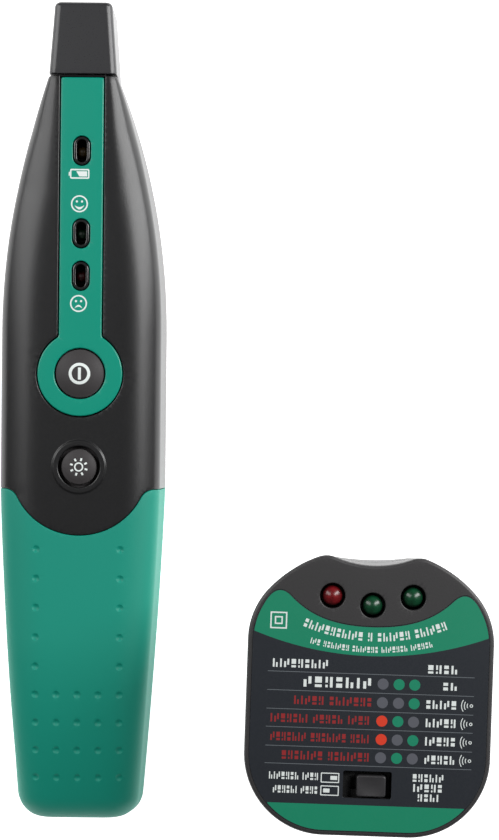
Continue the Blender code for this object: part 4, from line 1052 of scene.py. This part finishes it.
def addTorch():
    low, high = heightsOf("torch_led")
    near, far = (corner.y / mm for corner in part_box("torch_led"))
    lens, base = 2.4, 2.9
    turn = np.linspace(0, pi / 2, 12)
    dome = np.stack([lens * np.sin(turn), far - lens * 2 / 3 * (1 - np.cos(turn))], axis=1)
    side = np.array([(lens, near + 1.0), (base, near + 0.9), (base, near), (0.0, near)])
    shape = turnedToY(turnedShape(np.concatenate([dome, side]), 40))
    centre = middle("torch_led")
    centre.y = (far - 1.2) * mm
    finish = {**lampTints["torch_led"], "radius": base}
    addPiece("torch_led", "lens", [shifted(shape, (0.0, 0.0, (low + high) / 2))], "receiver",
             [lensEpoxy("torch lamp epoxy", finish, centre)])


def addButton(name, marks):
    # a domed cap with a printed mark; its wall ends in a flange that the casing keeps in
    button = buttons[name]
    spot, radius, edge = (0.0, button["y"]), button["radius"], button["edge"]
    low = heightsOf(name + "_button")[0]

    def lift(flat):
        share = np.hypot(flat[:, 0], flat[:, 1] - button["y"]) / radius
        rise = button["crown"] * (1 - share ** button["steepness"])
        return np.column_stack([flat, body["thick"] + rise])

    def ring(size, z):
        return atHeight(circle(spot, size, 72), z)

    rim = radius - edge
    start = body["thick"] + button["crown"] * (1 - (rim / radius) ** button["steepness"])
    rows = [ring(rim + out, start - down) for out, down in bead(edge, 5)]
    flange = button["hole"] + 1.0
    rows += [ring(radius, low + 1.0), ring(flange, low + 1.0), ring(flange, low), ring(radius - 1.2, low),
             ring(radius - 1.3, start - 1.7)]
    grid = np.concatenate([circle(spot, size, 48) for size in np.arange(0.6, rim, 0.45)])
    shape = shell([circle(spot, rim, 72)], lift, [rows], 1.5, 0.5, marks=[(1, marks)], extra=grid)
    addPiece(name + "_button", "cap", [shape], name + "_button", [rubber, padInk])


def addButtons():
    bar = roundedBox((0.0, powerY), 0.4, 1.6, 0.15, 3)
    addButton("power", [*ringMark((0.0, powerY), 2.85, 0.8, 72), bar])
    rays = [barMark((0.0, lampY), angle, 1.65, 2.4, 0.5) for angle in range(27, 387, 45)]
    addButton("lamp", [*ringMark((0.0, lampY), 1.22, 0.38, 36), *rays])


# The can's edges are rolled: each step of the roll is a distance from an end and how far it draws in.
battery = {"start": -41.5, "corner": 3.0, "bright": 15.0, "roll": ((0.0, 1.1), (0.25, 0.4), (0.9, 0.0)),
           "studs": ((-6.4, 2.9), (6.4, 3.9)), "studHigh": 1.8}


def addBattery():
    # a rolled can with a bright end, its two terminals under the snap
    low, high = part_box("battery_9v")
    bottom, top = low.z / mm, high.z / mm
    half, centreZ = (high.x - low.x) / 2 / mm, (bottom + top) / 2
    end, start = low.y / mm, battery["start"]

    def ring(y, into):
        loop = roundedBox((0.0, centreZ), half - into, (top - bottom) / 2 - into, battery["corner"] - into)
        return standing(loop, y)

    bright = end + battery["bright"]
    rolled = [*[(end + along, into) for along, into in battery["roll"]], (bright, 0.0), (bright + 0.01, 0.0),
              *[(start - along, into) for along, into in battery["roll"][::-1]]]
    points, faces, numbers = swept([ring(y, into) for y, into in rolled])
    sides = numbers[0].reshape(len(rolled) - 1, -1)
    sides[3:] = 1
    terminals = []
    tip = start + battery["studHigh"]
    for x, size in battery["studs"]:
        profile = filleted([(0.0, start - 0.05, 0), (size, start - 0.05, 0), (size, tip, 0.5), (0.0, tip, 0)])
        terminals.append(shifted(turnedToY(turnedShape(profile, 32)), (x, 0.0, centreZ)))
    addPiece("battery_9v", "can", [(points, faces, numbers), *terminals], "receiver",
             [jacketBright, jacketDark])


addNose()
addStrip()
addWindows()
for name, slot in lampSlots.items():
    addLamp(name + "_led", "receiver", 1.0, (1.5, 1.85))
addTorch()
addButtons()
addBattery()
print("receiver ready")


# The transmitter: a cover and a base inside one outline, drawn in towards the back. The hollow at the top
# is given by the slope of its flanks, and it is shallower at the back than at the face.
tester = {
    "half": 30.79, "low": -34.9, "corner": 20.3, "shoulderFrom": 13.6,
    "shoulder": ((18.8, 42, 16), (31.9, 27.2, 12)),
    "bump": {"front": 5.5, "back": 8.0}, "hollow": {"front": 22.0, "back": 8.0},
    "face": 66.0, "back": 36.0, "parting": 50.0, "draft": 2.0, "wall": 2.0, "roll": 0.9, "backRoll": 1.8,
    "lampHole": 3.16, "gap": 0.15,
}


def testerOutline(level):
    lower = arcPath((tester["half"] - tester["corner"], tester["low"]), 0, [(tester["corner"], 90, 30)])
    shoulder = arcPath((tester["half"], tester["shoulderFrom"]), 90, tester["shoulder"])
    bump, hollow = tester["bump"][level], tester["hollow"][level]
    heading = 90 + sum(turn for _, turn, _ in tester["shoulder"])
    rise = 180 - heading
    slope = np.sin(radians(hollow))
    dip = (shoulder[-1][0] - bump * (slope + np.sin(radians(rise)))) / slope
    top = arcPath(shoulder[-1], heading, [(bump, rise + hollow, 14), (dip, -hollow, 12)])
    right = np.concatenate([lower, shoulder, top[1:-1]])
    return np.concatenate([right, [(0.0, top[-1][1])], (right * (-1, 1))[::-1]])


fronts, backs = testerOutline("front"), testerOutline("back")


def testerLoop(z, into):
    # the outline at a height, drawn in by the draft as well
    share = (tester["face"] - z) / (tester["face"] - tester["back"])
    return inset(fronts + (backs - fronts) * share, into + tester["draft"] * share)


def testerRow(z, into, side):
    return atHeight(testerLoop(z, into) * (side, 1), z)


def bend(start, turn, end, steps=12):
    # a quadratic curve from start to end, pulled towards the turn
    share = np.linspace(0, 1, steps + 1)[:, None]
    start, turn, end = (np.array(point, float) for point in (start, turn, end))
    return start * (1 - share) ** 2 + turn * 2 * share * (1 - share) + end * share ** 2


label = {
    "inset": 1.35, "sideTo": 22.3, "archHalf": 20.3, "arch": (17.5, 0.0100, 1.79e-5), "lobe": (24.1, 28.3),
    "top": 66.1, "thick": 0.35, "bandRadius": 81.6, "bandCentre": 91.8, "lowBand": -27.0,
    "rows": (5.7, 1.05, -3.6, -8.1, -12.8, -17.2), "rowFrom": -25.5, "rowTo": 26.0, "rowLine": 0.16,
    "dots": (3.3, 7.3, 11.2), "dotRadius": 1.38, "slot": ((0.2, -21.9), (6.0, 3.35)),
}


def archHeight(x):
    flat, square, fourth = label["arch"]
    return flat + square * x ** 2 + fourth * x ** 4


def labelOutline():
    edge = inset(fronts, label["inset"])
    right = edge[(edge[:, 0] > 0) & (edge[:, 1] < label["sideTo"])]
    x = np.linspace(label["archHalf"], 0, 26)
    arch = np.stack([x, archHeight(x)], axis=1)
    lobe = bend(right[-1], label["lobe"], arch[0])
    half = np.concatenate([right, lobe[1:-1], arch[:-1]])
    return dense(np.concatenate([half, [arch[-1]], (half * (-1, 1))[::-1]]), 1.0)


def cutOff(edge, curve, above):
    # the part of a loop that lies above or below a curve y(x), closed along the curve
    kept = (edge[:, 1] > curve(edge[:, 0])) == above
    first = np.flatnonzero(kept & ~np.roll(kept, 1))[0]
    run = np.roll(edge, -first, axis=0)[:kept.sum()]
    x = np.linspace(run[-1][0], run[0][0], 60)
    return np.concatenate([run, np.stack([x, curve(x)], axis=1)])


# Blocks that stand for lettering, and are none: each is a set of small bars in a cell one high, given by
# its width and the bars' (left, low, right, high).
blocks = (
    (0.40, ((0.0, 0.0, 0.4, 0.4), (0.0, 0.6, 0.4, 1.0))),
    (0.50, ((0.0, 0.0, 0.18, 1.0), (0.32, 0.0, 0.5, 0.55))),
    (0.18, ((0.0, 0.0, 0.18, 1.0),)),
    (0.52, ((0.0, 0.0, 0.2, 0.7), (0.32, 0.3, 0.52, 1.0))),
    (0.46, ((0.0, 0.0, 0.46, 0.26), (0.0, 0.42, 0.46, 1.0))),
    (0.48, ((0.0, 0.45, 0.16, 1.0), (0.0, 0.0, 0.16, 0.25), (0.3, 0.0, 0.48, 1.0))),
)


def blockText(length, height, words, start):
    # rows of blocks to a length, with a gap between words; start picks the first block
    bars, x, number = [], 0.0, start
    for word in words:
        for _ in range(word):
            width, cell = blocks[number % len(blocks)]
            bars += [(x + left, low, x + right, high) for left, low, right, high in cell]
            x += width + 0.24
            number += 1
        x += 0.42
    bars = np.array(bars)
    bars[:, ::2] *= length / (x - 0.66)
    bars[:, 1::2] *= height
    left, low, right, high = bars.T
    return np.stack([np.stack([left, low], 1), np.stack([right, low], 1), np.stack([right, high], 1),
                     np.stack([left, high], 1)], axis=1)


def straightText(left, right, middleY, height, words, start):
    return list(blockText(right - left, height, words, start) + (left, middleY - height / 2))


def archedText(left, right, radius, centre, height, words, start):
    # on the underside of a circle, so the blocks lean outwards at its ends
    texts = blockText(right - left, height, words, start)
    turn = (texts[:, :, 0] + left) / radius
    reach = radius + height / 2 - texts[:, :, 1]
    return list(np.stack([centre[0] + reach * np.sin(turn), centre[1] - reach * np.cos(turn)], axis=2))


def soundMark(x, y):
    # three arcs that spread from a small ring
    arcs = [np.concatenate([arc((x, y), radius, 180 - span, 180 + span, 8),
                            arc((x, y), radius - 0.2, 180 + span, 180 - span, 8)])
            for radius, span in ((1.15, 32), (1.85, 34), (2.55, 36))]
    return [*arcs, *ringMark((x, y), 0.42, 0.2, 14)]


def switchMark(left, y, knobFrom, knobTo):
    box = [roundedBox((left + 2.3, y), 2.3, 1.25, 0.2, 3), roundedBox((left + 2.3, y), 2.05, 1.0, 0.1, 3)]
    return [*box, roundedBox(((knobFrom + knobTo) / 2, y), (knobTo - knobFrom) / 2, 0.5, 0.1, 3)]


# Rows of blocks: left and right ends, middle, height, the words' lengths and the block they start with.
# The four lines of faults stand beside the dots, and the arched rows hang from a circle and its centre.
legend = {
    "arched": ((-17.6, 18.4, 48.0, (0.5, 62.95), 2.1, (11, 1, 6, 6), 0),
               (-15.2, 15.3, 62.0, (0.0, 73.8), 1.45, (3, 7, 7, 7, 6), 2)),
    "straight": ((-24.3, -10.6, 7.8, 2.1, (9,), 1), (14.4, 21.6, 7.45, 2.1, (4,), 4),
                 (-16.5, 0.3, 3.375, 2.6, (7,), 3), (18.3, 21.65, 3.275, 1.9, (2,), 0),
                 (-24.3, -12.1, -20.2, 1.8, (7, 4), 1), (-23.2, -12.2, -23.6, 1.8, (6, 4), 3),
                 (11.5, 19.1, -19.7, 1.9, (6,), 4), (11.7, 18.8, -22.2, 1.9, (5,), 2),
                 (12.9, 18.0, -24.6, 1.8, (4,), 5)),
    "faults": ((-18.7, 0.5, (5, 7)), (-24.4, 0.1, (7, 5, 4)), (-24.3, 0.17, (7, 7, 4)),
               (-21.3, 0.34, (7, 7))),
    "faultHeight": 2.1, "results": (14.25, 21.65), "sounds": 25.45,
    "switches": ((-11.4, -20.4, -9.0, -7.3), (-11.4, -23.6, -10.7, -9.1)),
    "squares": ((-23.2, 18.4), (2.1, 1.0), 0.35),
    "dots": (("grey", "green", "green"), ("grey", "grey", "green"), ("signal", "green", "grey"),
             ("signal", "grey", "green"), ("grey", "green", "grey")),
}


def labelMarks():
    edge = inset(labelOutline(), 0.12)
    band = cutOff(edge, lambda x: label["bandCentre"] - np.sqrt(label["bandRadius"] ** 2 - x ** 2), True)
    low = cutOff(edge, lambda x: np.full(np.shape(x), label["lowBand"]), False)
    left, right, half = label["rowFrom"], label["rowTo"], label["rowLine"] / 2
    lines = [np.array([(left, y - half), (right, y - half), (right, y + half), (left, y + half)])
             for y in label["rows"]]
    middles = (np.array(label["rows"][:-1]) + np.array(label["rows"][1:])) / 2
    dots = {ink: [] for ink in ("green", "grey", "signal")}
    for y, row in zip(middles, legend["dots"]):
        for x, ink in zip(label["dots"], row):
            dots[ink].append(circle((x, y), label["dotRadius"], 32))
    white = [loop for row in legend["arched"] for loop in archedText(*row)]
    white += [loop for row in legend["straight"] for loop in straightText(*row)]
    white += [loop for mark in legend["switches"] for loop in switchMark(*mark)]
    red, high = [], legend["faultHeight"]
    for number, (start, end, words) in enumerate(legend["faults"]):
        y = middles[number + 1]
        white += straightText(*legend["results"], y - 0.05, high, (5,), number)
        white += soundMark(legend["sounds"], y - 0.05)
        red += straightText(start, end, y, high, words, number + 1)
    spot, sizes, stroke = legend["squares"]
    white += [roundedBox(spot, reach, reach, 0.1, 2) for size in sizes for reach in (size, size - stroke)]
    order = [("green", [band, low]), ("line", lines), *dots.items(), ("white", white), ("red", red)]
    return [(list(film).index(ink), loops) for ink, loops in order]


def slotLoop(margin):
    centre, (halfX, halfY) = label["slot"]
    return roundedBox(centre, halfX + margin, halfY + margin, 0.4 + margin, 3)


def addLabel():
    edge = [[0.05, 0.05], [0.05, label["thick"]]]
    shape = shell([labelOutline(), slotLoop(0.1)], levelLift(label["top"]), [edge, edge], label["thick"], 2.0,
                  marks=labelMarks())
    addPiece("face_label", "print", [shape], "transmitter", list(film.values()))


testerLamps = {"tester_led_red": "red_lens", "tester_led_green_left": "green_lens",
               "tester_led_green_right": "green_lens"}
testerScrews = screwSpots("tester_screw_", testerPlace)


def rolledRows(start, end, roll, side):
    # a rounded edge from the face at one height, then the drafted side as far as the parting line
    sign = np.sign(end - start)
    rows = [testerRow(start + sign * down, roll - out, side) for out, down in bead(roll, 7)]
    rows += [testerRow(z, 0.0, side) for z in np.linspace(start + sign * roll, end - sign * 0.2, 8)[1:]]
    wall = tester["wall"]
    return [*rows, testerRow(end, 0.2, side), testerRow(end, wall, side),
            testerRow(start + sign * (wall + 0.3), wall, side)]


def addTesterCover():
    face, roll = tester["face"], tester["roll"]
    rows = rolledRows(face, tester["parting"] + tester["gap"], roll, 1)
    recess = inset(labelOutline(), -tester["gap"])
    holes = [circle(spotOf(name, testerPlace), tester["lampHole"] + 0.25, 48) for name in testerLamps]
    wall = bead(0.25, 4) + [[0.25, tester["wall"]]]
    shape = shell([testerLoop(face, roll), recess, *holes], levelLift(face),
                  [rows, [[-0.06, 0.06], [-0.06, tester["wall"]]], *[wall] * 3], tester["wall"], 1.2)
    floorTop = label["top"] - label["thick"] - 0.05
    under = shell([inset(labelOutline(), -0.6), slotLoop(0.1)], levelLift(floorTop),
                  [[[0.0, 1.6]], [[0.0, 1.6]]], 1.6, 2.5)
    addPiece("tester_cover", "shell", [shape, under], "transmitter", [greyCover])


def addTesterBase():
    back, roll = tester["back"], tester["backRoll"]
    rows = rolledRows(back, tester["parting"] - tester["gap"], roll, -1)
    holes, walls = [mirrored(circle((0.0, 0.0), 14.0, 64))], [bead(0.2, 3) + [[0.2, tester["wall"]]]]
    for name, spot in testerScrews.items():
        holes.append(mirrored(circle(spot, screw["bore"] + 0.2, 32)))
        walls.append(counterbore(spot, heightsOf(name)[0] + seatOver, 1, screw["bore"]))
    shape = shell([testerLoop(back, roll), *holes], levelLift(back, up=False), [rows, *walls],
                  tester["wall"], 1.8)
    addPiece("tester_base", "shell", [shape], "transmitter", [greyCover])


# The pins narrow to a bullet nose, and the clips bow outwards between their ends.
plug = {
    "radius": 18.6, "low": 19.0, "high": 35.7, "roll": 1.2, "notchHalf": 3.5, "notchTo": 15.9,
    "pin": 2.4, "pinAt": 9.5,
    "pinProfile": ((0.0, 0.0), (0.6, 0.06), (1.2, 0.3), (1.7, 0.8), (2.05, 1.6), (2.25, 2.8), (2.36, 4.5),
                   (2.4, 6.5), (2.4, 39.5), (1.9, 40.0), (0.0, 40.0)),
    "clipHalf": (2.25, 0.55), "clipFrom": 20.0, "clipTo": 32.0, "clipBow": 0.16,
}


def plugLoop(into):
    # a disc with a notch for each earth clip
    radius, half, floorY = plug["radius"] - into, plug["notchHalf"] + into, plug["notchTo"] - into
    start = degrees(atan2(half, sqrt(radius ** 2 - half ** 2)))
    right = arc((0.0, 0.0), radius, start - 90, 90 - start, 40)
    upper = np.array([(half, floorY), (-half, floorY)])
    left = arc((0.0, 0.0), radius, 90 + start, 270 - start, 40)
    return np.concatenate([right, upper, left, -upper])


def addPlug():
    low, high, roll = plug["low"], plug["high"], plug["roll"]
    rows = [atHeight(mirrored(plugLoop(roll - out)), low + down) for out, down in bead(roll, 7)]
    rows += [atHeight(mirrored(plugLoop(0.0)), high - 0.3), atHeight(mirrored(plugLoop(0.3)), high)]
    holes = [circle((side * plug["pinAt"], 0.0), plug["pin"] + 0.25, 32) for side in (-1, 1)]
    shape = shell([plugLoop(roll), *holes], levelLift(low, up=False),
                  [rows, *[[[0.1, 0.1], [0.1, high - low - 0.01]]] * 2], high - low - 0.01, 1.8)
    addPiece("plug_body", "finished", [shape], "transmitter", [blackAbs])
    for name in ("live_pin", "neutral_pin"):
        shape = shifted(turnedShape(plug["pinProfile"], 48), (*spotOf(name, testerPlace), 0.0))
        addPiece(name, "finished", [shape], "transmitter", [nickel])
    halfX, halfY = plug["clipHalf"]
    for name in ("earth_clip_lower", "earth_clip_upper"):
        x, y = spotOf(name, testerPlace)
        share = np.linspace(-1, 1, 25)
        heights = (plug["clipFrom"] + plug["clipTo"] + (plug["clipTo"] - plug["clipFrom"]) * share) / 2
        shifts = (plug["clipBow"] * np.cos(share * pi / 2) - 0.1) * np.sign(y)
        draws = np.where(np.abs(share) == 1, 0.2, 0.0)
        rings = [atHeight(roundedBox((x, y + shift), halfX - into, halfY - into, 0.25, 4), z)
                 for z, shift, into in zip(heights, shifts, draws)]
        addPiece(name, "finished", [swept(rings)], "transmitter", [nickel])


knob = {"half": (3.65, 2.65), "top": 66.2, "low": 62.4, "corner": 0.7, "roll": 0.35, "dish": 0.22,
        "stem": (1.5, 1.2)}


def addKnob():
    # a low block with rounded edges and a faint dish for the fingertip
    x, y = spotOf("mode_switch_knob", testerPlace)
    (halfX, halfY), roll = knob["half"], knob["roll"]

    def row(z, into):
        return atHeight(roundedBox((x, y), halfX - into, halfY - into, knob["corner"] - into * 0.8, 6), z)

    def lift(flat):
        share = np.clip(1 - ((flat[:, 0] - x) / (halfX - roll)) ** 2, 0, 1)
        share *= np.clip(1 - ((flat[:, 1] - y) / (halfY - roll)) ** 2, 0, 1)
        return np.column_stack([flat, knob["top"] - knob["dish"] * share])

    rows = [row(knob["top"] - down, roll - out) for out, down in bead(roll, 6)]
    rows += [row(knob["low"], 0.0), row(knob["low"], 1.0)]
    face = roundedBox((x, y), halfX - roll, halfY - roll, knob["corner"] - roll * 0.8, 6)
    cap = shell([face], lift, [rows], knob["top"] - knob["low"] - 0.6, 0.7)
    stemLow = heightsOf("mode_switch_knob")[0]
    stemLoop = roundedBox((x, y), *knob["stem"], 0.3, 3)
    stem = swept([atHeight(stemLoop, z) for z in (stemLow, knob["low"] + 0.8)])
    addPiece("mode_switch_knob", "cap", [cap, stem], "mode_switch", [knobAbs])


addTesterCover()
addTesterBase()
addLabel()
for name, slot in testerLamps.items():
    addLamp(name, "transmitter", 1.2, (2.5, 2.85))
addKnob()
addPlug()
for name, spot in testerScrews.items():
    addScrew(name, "transmitter", spot)
print("transmitter ready")


# Parts inside the casings keep the shape that the model gives them.
insideFinishes = {
    "battery_lead_black": blackVinyl, "battery_lead_red": redVinyl, "dropper_capacitor": filmCapacitor,
    # the boards' black is partly painted shade for the recesses behind the windows and lamp holes
    "fuse": fuseGlass, "pickup_coil": copper, "pickup_core": ferrite, "receiver_board": shadeBlackBoard,
    "tester_board": shadeBlackBoard,
    **dict.fromkeys(("battery_snap", "buzzer", "controller_chip", "lamp_plunger", "lamp_switch",
                     "power_plunger", "power_switch", "mode_switch_body", "tester_buzzer"), epoxyBlack),
}
for node, finish in insideFinishes.items():
    bpy.data.objects[node].material_slots[0].material = finish
print("inside parts finished:", len(insideFinishes))

floor = {"half": 3000.0, "drop": 0.1, "colour": "#f4f4f4", "glow": 1.2}


def addFloor():
    # a plain pale sheet that glows a little, so that it shows no shadows
    half, z = floor["half"] * mm, -floor["drop"] * mm
    mesh = bpy.data.meshes.new("floor")
    mesh.from_pydata([(-half, -half, z), (half, -half, z), (half, half, z), (-half, half, z)], [],
                     [(0, 1, 2, 3)])
    mesh.materials.append(surface("pale paper", {
        "colour": floor["colour"], "tone": floor["colour"], "drift": 60, "grain": 1.0, "gloss": (0.85, 0.9),
        "raise": 0.0, "shader": {"Specular IOR Level": 0.2, "Emission Color": (1.0, 1.0, 1.0, 1.0),
                                 "Emission Strength": floor["glow"]}}))
    sheet = bpy.data.objects.new("floor", mesh)
    bpy.context.scene.collection.objects.link(sheet)


lights = {
    "left box": {"zenith": -48.0, "away": 800.0, "up": 0.35, "size": (340, 900), "radiance": 4.2},
    "right box": {"zenith": 49.0, "away": 800.0, "up": 0.35, "size": (320, 900), "radiance": 8.8},
}
room = {"dim": 0.065, "backdrop": 1.2}


def addLights():
    # Two long soft boxes over the pair, one on each side, in a dim room with a pale backdrop.
    for name, light in lights.items():
        data = bpy.data.lights.new(name, "AREA")
        data.shape = "RECTANGLE"
        data.size, data.size_y = light["size"][0] * mm, light["size"][1] * mm
        data.energy = light["radiance"] * pi * data.size * data.size_y
        lamp = bpy.data.objects.new(name, data)
        turn = radians(light["zenith"])
        lamp.location = Vector((np.sin(turn), light["up"], np.cos(turn))) * light["away"] * mm
        lamp.rotation_euler = (-lamp.location).to_track_quat("-Z", "Y").to_euler()
        bpy.context.scene.collection.objects.link(lamp)
    world = bpy.data.worlds.new("studio")
    bpy.context.scene.world = world
    world.use_nodes = True
    seen = addNode(world, "ShaderNodeLightPath").outputs["Is Camera Ray"]
    strength = addNode(world, "ShaderNodeMapRange", {
        "Value": seen, "To Min": room["dim"], "To Max": room["backdrop"]})
    glow = addNode(world, "ShaderNodeBackground", {
        "Color": (1.0, 1.0, 1.0, 1.0), "Strength": strength.outputs["Result"]})
    out = world.node_tree.nodes["World Output"]
    world.node_tree.links.new(glow.outputs["Background"], out.inputs["Surface"])


addFloor()
addLights()
bpy.context.scene.view_settings.view_transform = "Standard"
print("stage ready")
